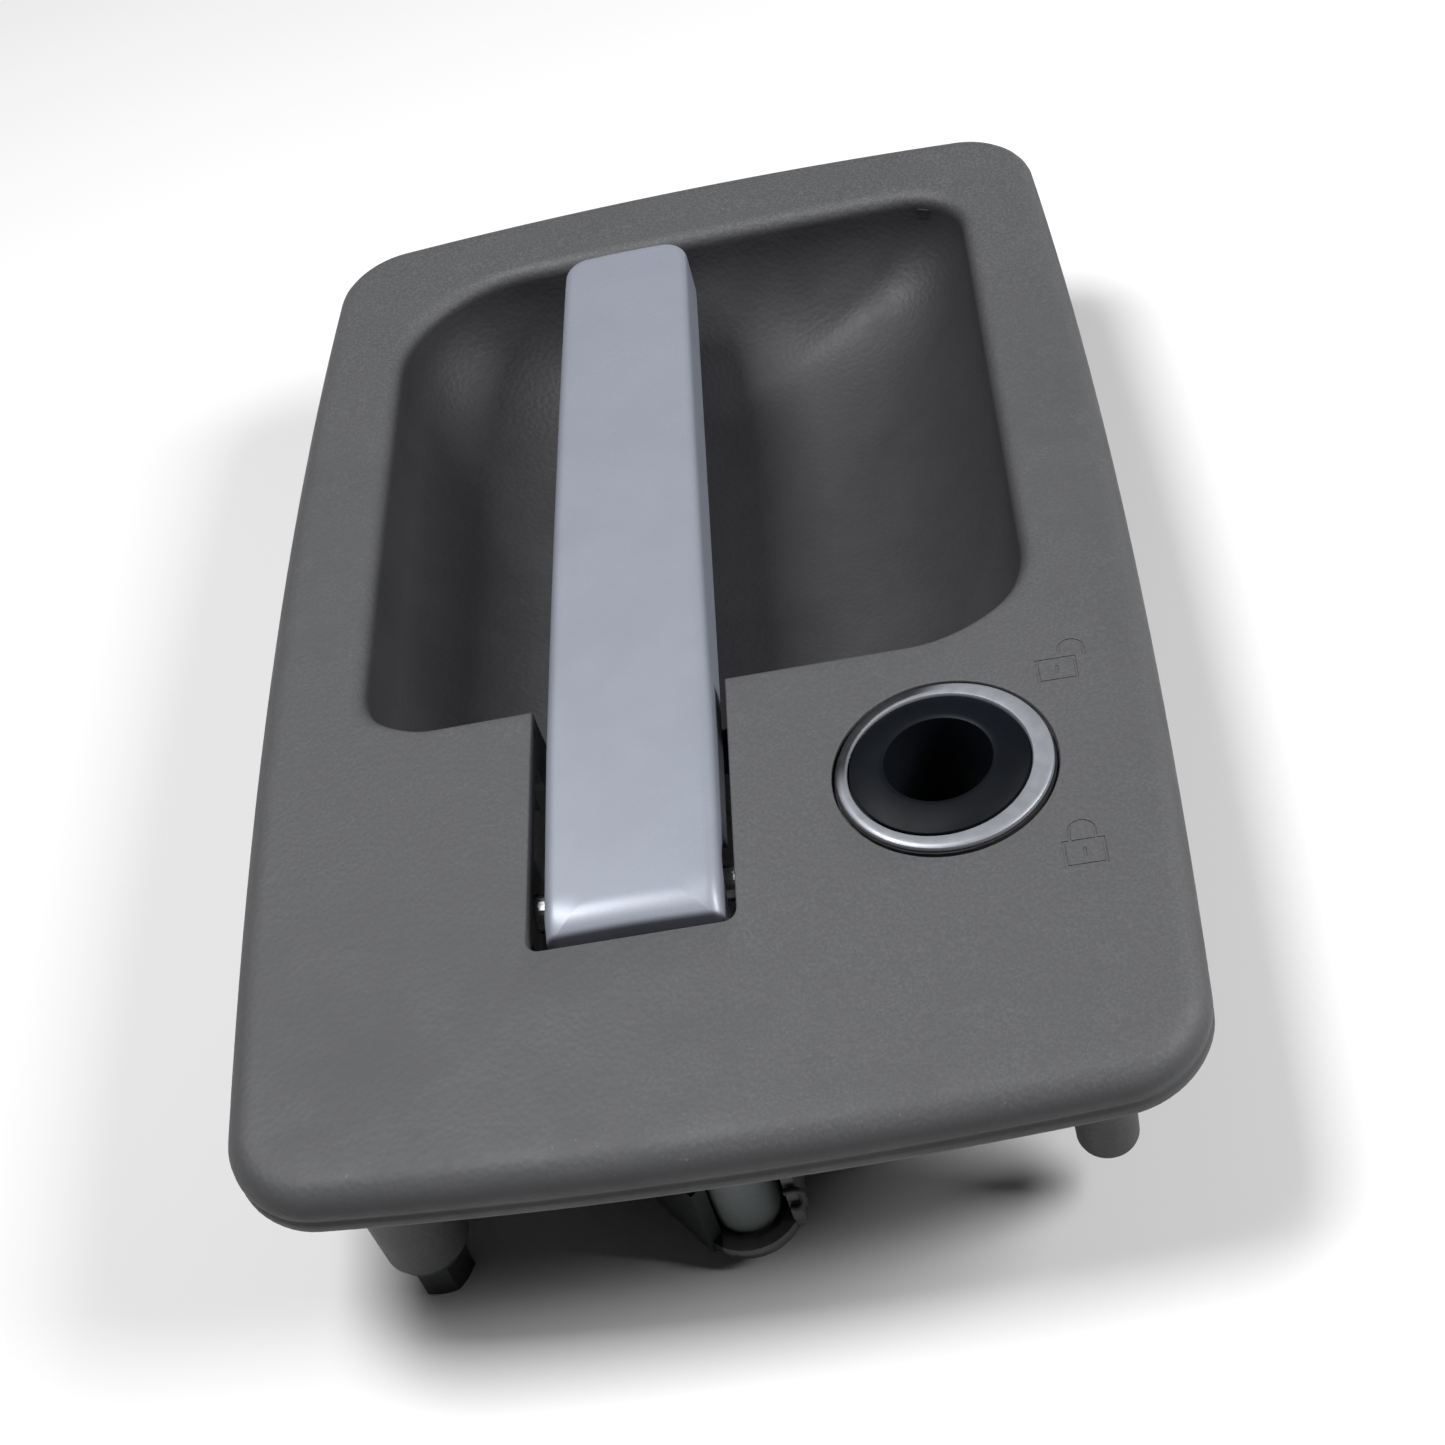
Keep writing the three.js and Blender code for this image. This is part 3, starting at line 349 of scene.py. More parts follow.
def padlock(x, y, open_by):
    """Grooves that draw a plain padlock: a body, a shackle and a keyhole stroke."""
    half, height, width, depth = 2.9, 4.4, 0.5, 0.14
    bow, straight, lifted = 1.9, 1.7, 1.2 if open_by else 0.0
    left, right, low = x - half, x + half, y - height
    body = [(left, y), (right, y), (right, low), (left, low), (left, y)]
    arc = [math.radians(180 - a) for a in range(0, 181, 15)]
    shackle = [(x + open_by + bow * math.cos(a), y + straight + bow * math.sin(a)) for a in arc]
    shackle = [(x + open_by - bow, y + lifted), *shackle, (x + open_by + bow, y)]
    grooves = [ribbon(shackle, width, depth), ribbon([(x, y - 1.4), (x, y - 3.0)], width, depth)]
    for a, b in zip(body, body[1:]):
        run = Vector((b[0] - a[0], b[1] - a[1])).normalized() * width / 2
        ends = [(a[0] - run.x, a[1] - run.y), (b[0] + run.x, b[1] + run.y)]
        grooves.append(ribbon(ends, width, depth))
    return grooves


def boss(x, y, end, r0, r1, top=FACE - 5):
    """A moulded post whose free end has a small rounding."""
    edge = 0.35
    rings = [circle(x, y, end, r0 - edge, 64), circle(x, y, end + 0.1, r0 - 0.12, 64),
             circle(x, y, end + edge, r0, 64), circle(x, y, top, r1, 64)]
    return loft("boss", rings)


def fascia_housing():
    """The shell with cheeks, shelf, posts and ribs, cut for slot, hinge, lock, screws and marks."""
    solids = [block(x, x + CHEEK, CHEEK_Y0, CHEEK_Y1, FACE - CHEEK_DEPTH, FACE - 3)
              for x in (SLOT_X0 - CHEEK, SLOT_X1)]
    solids.append(block(SLOT_X0 - 2, SLOT_X1 + 2, SHELF_Y0, SHELF_Y1, SHELF_Z0, SHELF_Z1))
    for x0 in (SLOT_X0 - 2, SLOT_X1):
        solids.append(block(x0, x0 + 2, SHELF_Y0, SHELF_Y1, SHELF_Z0, FACE - 2.5))
    solids += [boss(x, y, BOSS_END, BOSS_R, BOSS_R + 0.6) for x, y in BOLT_AT.values()]
    solids += [boss(x, y, BRACKET_Z1 + GAP, 4.6, 4.6, FACE - 4) for x, y in BRACKET_SCREWS]
    solids.append(boss(CUP_X, CUP_Y, CUP_BOSS_END, 5.2, 5.6))
    solids.append(loft("post", [circle(POST_X, POST_Y, z, r, 64) for z, r in (
        (POST_END, POST_R - 1.7), (POST_END + 0.3, POST_R - 1.3), (POST_END + 1.7, POST_R - 0.2),
        (POST_END + 2.3, POST_R), (FACE - 5, POST_R + 0.5))]))
    half = RIB_T / 2
    solids += [block(a, b, y - half, y + half, RIB_Z0, RIB_Z1) for a, b, y in RIBS_X]
    solids += [block(x - half, x + half, a, b, RIB_Z0, RIB_Z1) for a, b, x in RIBS_Y]
    fascia = combine(fascia_skin(), solids, "UNION")

    slot_corners = (2.2, 0.5, 0.5, 2.2)
    slot = outline(SLOT_X0, SLOT_X1, SLOT_END, SLOT_TOP, slot_corners)
    mouth = outline(SLOT_X0 + 5, SLOT_X1 + MOUTH_WIDER, SLOT_END, SLOT_TOP, slot_corners)
    cutters = [
        lipped_cutter(slot, FACE - SLOT_DEPTH, 0.35),
        lipped_cutter(mouth, FACE - MOUTH_DEPTH, 0.35),
        block(SLOT_X0, SLOT_X1, PIVOT.y - SLOT_END_R / 2, PIVOT.y + 1,
              FACE - CHEEK_DEPTH - 2, FACE - 4),
        combine(rod_x(SLOT_X0 + 0.8, SLOT_X1 - 0.8, PIVOT.y, PIVOT.z, SLOT_END_R, 96),
                [block(SLOT_X0 - 2, SLOT_X1 + 2, -90, -40, FACE - 4, FACE + 10)], "DIFFERENCE"),
        rod_x(SLOT_X0 - 6, SLOT_X1 + 6, PIVOT.y, PIVOT.z, PIN_R + GAP),
        lipped_cutter(round_plan(LOCK_X, LOCK_Y, LOCK_SEAT), LOCK_Z - SEAT_DEPTH, 0.25),
        rod(LOCK_X, LOCK_Y, FACE - 12, LOCK_Z, LOCK_HOLE, sides=96),
    ]
    cutters += [rod(x, y, BOSS_END - 1, BOSS_END + 17, 4.2 + GAP) for x, y in BOLT_AT.values()]
    cutters += [rod(x, y, BRACKET_Z1, BRACKET_Z1 + SCREW_DEPTH, SCREW_HOLE)
                for x, y in BRACKET_SCREWS]
    cutters.append(rod(CUP_X, CUP_Y, CUP_BOSS_END - 1, CUP_BOSS_END + SCREW_DEPTH, SCREW_HOLE))
    cutters += padlock(58.0, -37.0, 2.6) + padlock(57.3, -73.0, 0.0)
    return rename(combine(fascia, cutters, "DIFFERENCE"), "fascia_skin")


def perimeter_seal():
    """A foam strip inside the rim, with a wider lip at its foot."""
    top, bottom = FACE - 7.8, RIM - 0.6
    profile = [(0.6, bottom + 0.6), (0.75, bottom + 0.15), (1.3, bottom), (2.4, bottom),
               (2.85, bottom + 0.15), (3.0, bottom + 0.6), (2.6, bottom + 1.6),
               (2.6, top - 0.3), (2.3, top), (0.9, top), (0.6, top - 0.3)]
    rings = [[(x, y, z) for x, y in plate_outline(WALL + inset)] for inset, z in profile]
    return loft("seal_strip", rings, closed=True)


# ---- Pull lever ----

CREST, BOW, BOW_MIDDLE, BOW_REACH, CROWN = FACE + 4, 3.0, 35.0, 110.0, 0.45
ROLL_FROM, ROLL_R = -71.4, 7.0
EDGE_R = 1.9
TIP_ROUND, HEEL_ROUND = 4.6, 2.8


def lever_half(y):
    """Half the lever's width: even at the root, then tapering to the tip."""
    t = max(0.0, (y - TAPER_FROM) / (LEVER_TIP - TAPER_FROM))
    return ROOT_HALF + (TIP_HALF - ROOT_HALF) * t


def lever_top(x, y):
    """The painted top: bowed along its length, slightly crowned, rolled down at the hinge end."""
    z = CREST - BOW * ((y - BOW_MIDDLE) / BOW_REACH) ** 2
    z -= CROWN * ((x - PIVOT.x) / ROOT_HALF) ** 2
    if y < ROLL_FROM:
        u = min((ROLL_FROM - y) / ROLL_R, 1.0)
        z -= ROLL_R * (1 - math.sqrt(1 - u * u))
    return z


def lever_plan():
    """The cover's outline with its normals, anticlockwise from its hinge end's right corner."""

    def side(sign):
        run = []
        heel = lever_half(LEVER_END)
        y0, y1 = LEVER_END + HEEL_ROUND, LEVER_TIP - TIP_ROUND
        for k in range(13):
            a = math.radians(-90 + 90 * k / 12)
            run.append((heel - HEEL_ROUND + HEEL_ROUND * math.cos(a),
                        y0 + HEEL_ROUND * math.sin(a), math.cos(a), math.sin(a)))
        for k in range(1, 56):
            y = y0 + (y1 - y0) * k / 56
            run.append((lever_half(y), y, 1.0, 0.0))
        for k in range(13):
            a = math.radians(90 * k / 12)
            run.append((lever_half(LEVER_TIP) - TIP_ROUND + TIP_ROUND * math.cos(a),
                        y1 + TIP_ROUND * math.sin(a), math.cos(a), math.sin(a)))
        return [(PIVOT.x + sign * x, y, sign * nx, ny) for x, y, nx, ny in run]

    right, left = side(1), side(-1)
    tip_right, tip_left = right[-1][0], left[-1][0]
    end_left, end_right = left[0][0], right[0][0]
    tip = [(tip_right + (tip_left - tip_right) * k / 10, LEVER_TIP, 0.0, 1.0) for k in range(1, 10)]
    end = [(end_left + (end_right - end_left) * k / 10, LEVER_END, 0.0, -1.0) for k in range(1, 10)]
    return right + tip + list(reversed(left)) + end


def zip_cap(ring, start, points):
    """Joins a ring of the lever's plan across its spine, point to mirrored point."""
    side = (len(ring) - 18) // 2
    last = 2 * side + 8
    faces = [(start + i, start + i + 1, start + last - i - 1, start + last - i)
             for i in range(side - 1)]
    faces.append(tuple(start + i for i in range(side - 1, side + 10)))
    faces.append(tuple(start + i % len(ring) for i in range(last, len(ring) + 1)))
    return faces


def towards_spine(ring, t):
    """A ring drawn in towards the line along the lever's middle."""
    low, high = LEVER_END + ROOT_HALF, LEVER_TIP - TIP_HALF
    return [(x + (PIVOT.x - x) * t, y + (min(max(y, low), high) - y) * t) for x, y in ring]


def lever_cover():
    """The painted cover: a hollow shell with screw bosses, cut away round the hinge knuckles."""
    plan = lever_plan()
    floor, chamfer = COVER_FLOOR, 0.3
    rings = [[(x - nx * chamfer, y - ny * chamfer, floor) for x, y, nx, ny in plan],
             [(x, y, floor + chamfer) for x, y, _, _ in plan]]
    radii = [min(EDGE_R, (lever_top(x, y) - floor - chamfer) * 0.7) for x, y, _, _ in plan]
    for degrees in range(0, 91, 15):
        angle = math.radians(degrees)
        ring = []
        for (x, y, nx, ny), r in zip(plan, radii):
            grow = r * (1 - math.cos(angle))
            px, py = x - nx * grow, y - ny * grow
            ring.append((px, py, lever_top(px, py) - r * (1 - math.sin(angle))))
        rings.append(ring)
    inner = [(p[0], p[1]) for p in rings[-1]]
    skin, meet = 2.1, 0.985
    for k in range(1, 24):
        rings.append([(x, y, lever_top(x, y)) for x, y in towards_spine(inner, meet * k / 23)])
    rings.reverse()
    cavity = [(x - nx * skin, y - ny * skin) for x, y, nx, ny in plan]
    thick = lambda y: 2.2 - 1.2 * smoothstep(-66, -72, y)
    rings.append([(x, y, floor) for x, y in cavity])
    rings.append([(x, y, max(lever_top(x, y) - thick(y), floor + 0.5)) for x, y in cavity])
    for k in range(1, 9):
        ring = towards_spine(cavity, meet * k / 8)
        rings.append([(x, y, max(lever_top(x, y) - thick(y), floor + 0.5)) for x, y in ring])
    cover = loft("cover", rings, smooth=40.0, cap=zip_cap)
    bosses = [rod(PIVOT.x, y, FACE - 3.5, lever_top(PIVOT.x, y) - 1, 3.2) for y in COVER_SCREW_Y]
    combine(cover, bosses, "UNION")
    pilots = [rod(PIVOT.x, y, FACE - 6, lever_top(PIVOT.x, y) - 1.6, 1.7) for y in COVER_SCREW_Y]
    eye = rod_x(-40, 20, PIVOT.y, PIVOT.z, 6.3)
    return rename(combine(cover, [*pilots, eye], "DIFFERENCE"), "painted_lever")


# ---- Lock ----

def lock_sleeve():
    """The black liner: a low dome round the bore, whose visible face sits a little to the left."""
    z = lambda drop: LOCK_Z - drop
    profile = [(8.2, z(-1.4)), (8.3, z(-1.65)), (8.6, z(-1.78)), (9.2, z(-1.8)), (10.8, z(-1.58)),
               (12.2, z(-1.22)), (13.3, z(-0.84)), (13.6, z(-0.7)), (13.7, z(-0.5)),
               (13.7, z(0.85)), (12.8, z(0.85)), (12.8, z(4.2)), (11.6, z(4.2)),
               (11.6, z(6.2)), (12.8, z(6.2)),
               (12.8, z(24)), (10.8, z(26)), (4.7, z(26)), (4.7, z(19)), (8.2, z(19))]
    return lathe("lock_liner", LOCK_X, LOCK_Y, profile,
                 moved=lambda r, up: FACE_SHIFT * smoothstep(LOCK_Z - 0.3, LOCK_Z + 0.2, up))


def lock_bezel():
    """A flat trim band, wider on its right because its opening follows the liner's face."""
    z = lambda drop: LOCK_Z - drop
    profile = [(16.5, z(0.1)), (16.5, z(-0.3)), (16.38, z(-0.55)), (16.1, z(-0.72)),
               (15.7, z(-0.8)), (14.6, z(-0.8)), (14.2, z(-0.72)), (14.03, z(-0.5)),
               (14.0, z(-0.3)), (14.0, z(0.1))]
    return lathe("bezel_band", LOCK_X, LOCK_Y, profile,
                 moved=lambda r, up: FACE_SHIFT * smoothstep(15.9, 14.8, r))


# ---- Return spring ----

def tube(name, path, radius, sides=10):
    """A round wire through the given points, with a frame carried along it."""
    points = [Vector(p) for p in path]
    normal = None
    rings = []
    for i, p in enumerate(points):
        along = (points[min(i + 1, len(points) - 1)] - points[max(i - 1, 0)]).normalized()
        if normal is None:
            normal = along.orthogonal().normalized()
        normal = (normal - along * normal.dot(along)).normalized()
        other = along.cross(normal)
        rings.append([tuple(p + normal * radius * math.cos(a) + other * radius * math.sin(a))
                      for a in (2 * math.pi * k / sides for k in range(sides))])
    return loft(name, rings, smooth=50.0)


def rounded_path(points, spacing):
    """A Catmull-Rom curve through points, stepped about evenly."""
    path = []
    pts = [Vector(p) for p in points]
    for i in range(len(pts) - 1):
        p0, p1, p2, p3 = pts[max(i - 1, 0)], pts[i], pts[i + 1], pts[min(i + 2, len(pts) - 1)]
        steps = max(2, int((p2 - p1).length / spacing))
        for k in range(steps):
            t = k / steps
            path.append(0.5 * (2 * p1 + (p2 - p0) * t + (2 * p0 - 5 * p1 + 4 * p2 - p3) * t * t
                               + (3 * p1 - p0 - 3 * p2 + p3) * t ** 3))
    path.append(pts[-1])
    return path


SPRING_X0, SPRING_X1, SPRING_R, SPRING_WIRE, SPRING_TURNS, PER_TURN = -13.0, -5.5, 4.7, 0.6, 4.5, 40


def return_spring():
    """A torsion coil on the hinge pin, with a leg to the lever's crank and a leg to the bracket."""
    at = lambda x, y, z: Vector((x, PIVOT.y + y, PIVOT.z + z))
    steps = int(SPRING_TURNS * PER_TURN)
    coil = []
    for k in range(steps + 1):
        a = 2 * math.pi * k / PER_TURN
        x = SPRING_X0 + (SPRING_X1 - SPRING_X0) * k / steps
        coil.append(at(x, SPRING_R * math.cos(a), SPRING_R * math.sin(a)))
    crank_leg = rounded_path([at(SPRING_X0 - 6, SPRING_R + 0.4, -12.5),
                              at(SPRING_X0 - 2, SPRING_R + 0.4, -12.3),
                              at(SPRING_X0, SPRING_R + 0.1, -8), coil[0]], 0.6)[:-1]
    stop_bend, stop_end = at(SPRING_X1, -SPRING_R, -6), at(SPRING_X1, -SPRING_R, -29)
    stop_leg = rounded_path([coil[-1], stop_bend, stop_end], 0.8)[1:]
    return tube("spring_wire", [*crank_leg, *coil, *stop_leg], SPRING_WIRE)


# ---- Rear fixings ----

def cup_hook():
    """The small open hook on the front edge of the plate beside the cup."""
    x, y, z = CUP_X + 8.4, CUP_Y - 4.9, 13.4
    path = [(-1.5, 2.1), (-0.2, 2.5), (0.8, 1.7), (1.1, 0.0), (0.8, -1.7), (-0.2, -2.4),
            (-1.3, -2.1)]
    return tube("cup_hook", rounded_path([(x + dx, y, z + dz) for dx, dz in path], 0.25), 0.55, 14)


def mounting_bolt(name, x, y):
    """A hexagon head with chamfered corners, its washer, and a threaded shank."""
    seat = BOSS_END - GAP
    head_top = seat - 1.1
    corner_r, shank_r, root_r, end_r, pitch = 4.9, 2.5, 2.1, 1.9, 0.8
    hexagon = loft("head", [circle(x, y, z, corner_r, 6) for z in (0.0, head_top)])
    cone = loft("chamfer", [circle(x, y, z, r, 64) for z, r in (
        (-0.01, 4.1), (0.7, 4.95), (head_top - 0.1, 5.2), (head_top + 0.5, 5.2))])
    bolt = combine(hexagon, [cone], "INTERSECT")
    washer = loft("washer", [circle(x, y, z, r, 64) for z, r in (
        (seat - 1.2, 5.8), (seat - 1.1, 6.0), (seat - 0.1, 6.0), (seat, 5.85))])
    shank = [circle(x, y, seat - 0.5, shank_r, 32)]
    z = seat + 0.6
    while z < BOSS_END + 15.2:
        shank += [circle(x, y, z, shank_r, 32), circle(x, y, z + pitch / 2, root_r, 32)]
        z += pitch
    shank += [circle(x, y, z, shank_r - 0.2, 32), circle(x, y, BOSS_END + 16, end_r, 32)]
    return rename(combine(bolt, [washer, loft("shank", shank)], "UNION"), name)


# ---- Materials ----

class Graph:
    """Short calls for the nodes that the materials share."""

    def __init__(self, name):
        self.material = bpy.data.materials.new(name)
        self.material.use_nodes = True
        self.nodes, self.links = self.material.node_tree.nodes, self.material.node_tree.links
        self.shader = self.nodes["Principled BSDF"]
        self.place = self.nodes.new("ShaderNodeTexCoord").outputs["Object"]

    def link(self, source, target):
        self.links.new(source, target)

    def stretched(self, scale):
        """Object coordinates scaled unevenly, for a drawn or turned grain."""
        node = self.nodes.new("ShaderNodeMapping")
        node.inputs["Scale"].default_value = scale
        self.link(self.place, node.inputs["Vector"])
        return node.outputs["Vector"]

    def noise(self, scale, detail=3.0, rough=0.55, vector=None):
        node = self.nodes.new("ShaderNodeTexNoise")
        node.inputs["Scale"].default_value = scale
        node.inputs["Detail"].default_value = detail
        node.inputs["Roughness"].default_value = rough
        self.link(vector or self.place, node.inputs["Vector"])
        return node.outputs["Fac"]

    def pebbles(self, scale):
        """Soft rounded cells, for a moulded grain."""
        node = self.nodes.new("ShaderNodeTexVoronoi")
        node.feature = "SMOOTH_F1"
        node.inputs["Scale"].default_value = scale
        node.inputs["Smoothness"].default_value = 0.6
        self.link(self.place, node.inputs["Vector"])
        return node.outputs["Distance"]

    def ramp(self, value, low, high, out_low=0.0, out_high=1.0):
        """A smooth step from one level to another; low may be above high."""
        node = self.nodes.new("ShaderNodeMapRange")
        node.interpolation_type = "SMOOTHSTEP"
        ends = (("From Min", low), ("From Max", high), ("To Min", out_low), ("To Max", out_high))
        for key, number in ends:
            node.inputs[key].default_value = number
        self.link(value, node.inputs["Value"])
        return node.outputs["Result"]

    def math(self, operation, a, b=0.0):
        node = self.nodes.new("ShaderNodeMath")
        node.operation = operation
        for slot, value in zip(node.inputs, (a, b)):
            if isinstance(value, (int, float)):
                slot.default_value = value
            else:
                self.link(value, slot)
        return node.outputs["Value"]

    def axis(self, name):
        node = self.nodes.new("ShaderNodeSeparateXYZ")
        self.link(self.place, node.inputs[0])
        return node.outputs[name]

    def times(self, *values):
        product = values[0]
        for value in values[1:]:
            product = self.math("MULTIPLY", product, value)
        return product

    def minus(self, a, b):
        return self.math("SUBTRACT", a, b)

    def squared(self, value):
        return self.times(value, value)

    def distance(self, x, y):
        """Metres in the plan from a point given in millimetres."""
        across = self.squared(self.minus(self.axis("X"), x * MM))
        along = self.squared(self.minus(self.axis("Y"), y * MM))
        return self.math("SQRT", self.math("ADD", across, along))

    def mix(self, factor, a, b):
        node = self.nodes.new("ShaderNodeMix")
        node.data_type = "RGBA"
        self.link(factor, node.inputs[0])
        for slot, value in ((node.inputs[6], a), (node.inputs[7], b)):
            if isinstance(value, tuple):
                slot.default_value = (*value, 1.0)
            else:
                self.link(value, slot)
        return node.outputs[2]

    def bump(self, height, strength, distance, under=None):
        node = self.nodes.new("ShaderNodeBump")
        node.inputs["Strength"].default_value = strength
        node.inputs["Distance"].default_value = distance
        self.link(height, node.inputs["Height"])
        if under:
            self.link(under, node.inputs["Normal"])
        return node.outputs["Normal"]

    def finish(self, colour, roughness, normal=None, metallic=0.0, coat=0.0, specular=0.5):
        shader = self.shader
        shader.inputs["Specular IOR Level"].default_value = specular
        self.link(colour, shader.inputs["Base Color"])
        self.link(roughness, shader.inputs["Roughness"])
        shader.inputs["Metallic"].default_value = metallic
        shader.inputs["Coat Weight"].default_value = coat
        shader.inputs["Coat Roughness"].default_value = 0.25
        if normal:
            self.link(normal, shader.inputs["Normal"])
        return self.material


def scaled(colour, factor):
    return tuple(c * factor for c in colour)


def depth_below_face(g):
    """Metres below the crowned face, at any point of the fascia."""
    below_crest = g.minus(FACE * MM, g.axis("Z"))
    crown_x = g.times(g.squared(g.axis("X")), CROWN_X * MM / (HALF_X * MM) ** 2)
    crown_y = g.times(g.squared(g.axis("Y")), CROWN_Y * MM / (HALF_Y * MM) ** 2)
    return g.minus(g.minus(below_crest, crown_x), crown_y)


def within(g, x0, x1, y0, y1):
    """1 over a rectangle of the plan, 0 outside it."""
    return g.times(g.math("GREATER_THAN", g.axis("X"), x0 * MM),
                   g.math("LESS_THAN", g.axis("X"), x1 * MM),
                   g.math("GREATER_THAN", g.axis("Y"), y0 * MM),
                   g.math("LESS_THAN", g.axis("Y"), y1 * MM))


def fascia_plastic():
    """Grained charcoal with dusty specks along its lower edge. Painted light makes the face lighter
    towards the top; painted shade darkens its lower left and its sides. The well is smoother and
    darker, the darkness partly its own plastic and partly painted shade of the recess.
    """
    g = Graph("fascia_plastic_grained")
    base, well_tone_and_shade = (0.083, 0.084, 0.089), (0.039, 0.039, 0.043)
    clouds, dust_and_light, cup_grey = (0.089, 0.088, 0.089), (0.26, 0.26, 0.26), (0.112, 0.124, 0.123)
    depth = depth_below_face(g)
    over_well = within(g, -59.2, 59.2, WELL_Y0 - 1.2, WELL_Y1 + 3.6)
    mottled = g.mix(g.ramp(g.noise(16, 5, 0.6), 0.35, 0.65), scaled(base, 0.94), clouds)
    blotched = g.mix(g.ramp(g.noise(190, 4, 0.6), 0.4, 0.7), mottled, scaled(base, 1.1))
    # Painted light: the face grows lighter towards the plate's top end.
    top_lit = g.mix(g.ramp(g.axis("Y"), 0.02, 0.11, 0.0, 0.8), blotched, scaled(base, 1.4))
    # Painted shade: the face grows darker towards its lower left.
    lower_left_shade = g.times(g.ramp(g.axis("Y"), -0.03, -0.10, 0.0, 0.7),
                        g.ramp(g.axis("X"), 0.01, -0.05))
    light_and_shade = g.mix(lower_left_shade, top_lit, scaled(base, 0.72))
    flecked = g.mix(g.ramp(g.noise(2200, 3), 0.38, 0.72), scaled(base, 0.84), light_and_shade)
    low_edge = g.ramp(g.axis("Y"), -0.104, -0.113)
    specks = g.times(low_edge, g.ramp(g.noise(640, 3, 0.7), 0.66, 0.74))
    worn = g.mix(g.times(specks, 0.3), flecked, dust_and_light)
    # Painted shade: the side walls below the face are darkened, all but the bead near their foot.
    bead = g.times(g.ramp(depth, 0.0074, 0.0078), g.ramp(depth, 0.0096, 0.0090))
    side_shade = g.minus(g.ramp(depth, 0.0008, 0.0034), bead)
    side_shade = g.times(side_shade, g.minus(1.0, over_well))
    sides_shaded = g.mix(side_shade, worn, scaled(base, 0.52))
    round_cup = within(g, CUP_X - 6.5, CUP_X + 6.5, CUP_Y - 7.2, CUP_Y + 6.8)
    cup_post = g.times(round_cup, g.ramp(depth, 0.011, 0.012))
    posted = g.mix(cup_post, sides_shaded, cup_grey)
    # The well's colour is darker: partly a smoother, darker plastic and partly painted shade of the
    # recess.
    well = g.times(over_well, g.ramp(depth, 0.0001, 0.0030))
    smooth = g.mix(g.ramp(g.noise(30, 4), 0.3, 0.7),
                   scaled(well_tone_and_shade, 0.92), scaled(well_tone_and_shade, 1.08))
    colour = g.mix(well, posted, smooth)
    normal = g.bump(g.noise(2600, 2), 0.14, 0.0001, g.bump(g.pebbles(1050), 0.42, 0.00014))
    rough = g.minus(g.ramp(g.noise(60, 5, 0.65), 0.3, 0.7, 0.54, 0.66), g.times(well, 0.05))
    return g.finish(colour, rough, normal, specular=0.38)


def bracket_plastic():
    """Black glass-filled moulding, lightened on the plate at its right as painted light, and on the
    cup's lip partly as wear and partly as painted light.
    """
    g = Graph("bracket_plastic_worn_and_lit")
    black = g.mix(g.ramp(g.noise(60, 4), 0.3, 0.7), (0.008, 0.0095, 0.0095), (0.014, 0.016, 0.016))
    lit_and_worn_grey = (0.105, 0.107, 0.104)
    front = g.ramp(g.axis("Y"), -0.090, -0.096)
    right = g.times(front, g.ramp(g.axis("X"), -0.004, 0.005))
    cup = g.times(within(g, -5.0, 12, -112, -90), g.ramp(g.axis("Z"), 0.0048, 0.0054))
    lip = g.times(front, cup)
    # Painted light: the plate's right is lightened; the cup's lip is lightened partly as wear and
    # partly as painted light, mottled by noise.
    dust_and_light = g.math("MAXIMUM", g.times(right, 0.55), g.times(lip, 0.9))
    colour = g.mix(g.times(dust_and_light, g.ramp(g.noise(420, 4), 0.2, 0.6, 0.6, 1.0)), black, lit_and_worn_grey)
    rough = g.ramp(g.noise(150, 4), 0.3, 0.7, 0.45, 0.6)
    return g.finish(colour, rough, g.bump(g.noise(1500, 3), 0.15, 0.0001), specular=0.25)


def lever_paint():
    """Silver satin paint with a fine flake, and a painted shadow where the roll turns down into the
    slot.
    """
    g = Graph("lever_satin_paint")
    base, shade = (0.275, 0.296, 0.350), (0.008, 0.009, 0.012)
    broad = g.mix(g.ramp(g.noise(14, 3), 0.35, 0.65), scaled(base, 0.97), scaled(base, 1.03))
    flake = g.mix(g.ramp(g.noise(5200, 1), 0.3, 0.7), scaled(base, 0.93), broad)
    # Painted shadow: the end of the roll darkens where it turns down into the slot.
    shaded_end = g.mix(g.ramp(g.axis("Y"), -0.0752, -0.0762, 0.0, 0.92), flake, shade)
    normal = g.bump(g.noise(260, 3), 0.05, 0.0001, g.bump(g.noise(4200, 1), 0.04, 0.00003))
    rough = g.ramp(g.noise(90, 4), 0.3, 0.7, 0.40, 0.48)
    return g.finish(shaded_end, rough, normal, metallic=0.2, coat=0.12)


def moulded(name, base, low=0.42, high=0.58, grain=1800, specular=0.5):
    """A plain moulded plastic, clouded a little, with a fine grain and uneven gloss."""
    g = Graph(name)
    colour = g.mix(g.ramp(g.noise(40, 4), 0.3, 0.7), scaled(base, 0.8), scaled(base, 1.3))
    normal = g.bump(g.noise(grain, 3), 0.12, 0.0001)
    return g.finish(colour, g.ramp(g.noise(120, 4), 0.3, 0.7, low, high), normal, specular=specular)


def rubbery():
    """Matt black foam and rubber."""
    g = Graph("seal_rubber_matt")
    colour = g.mix(g.ramp(g.noise(55, 4), 0.3, 0.7), (0.008, 0.008, 0.009), (0.018, 0.018, 0.019))
    rough = g.ramp(g.noise(150, 3), 0.3, 0.7, 0.7, 0.88)
    return g.finish(colour, rough, g.bump(g.noise(1500, 3), 0.2, 0.0001))


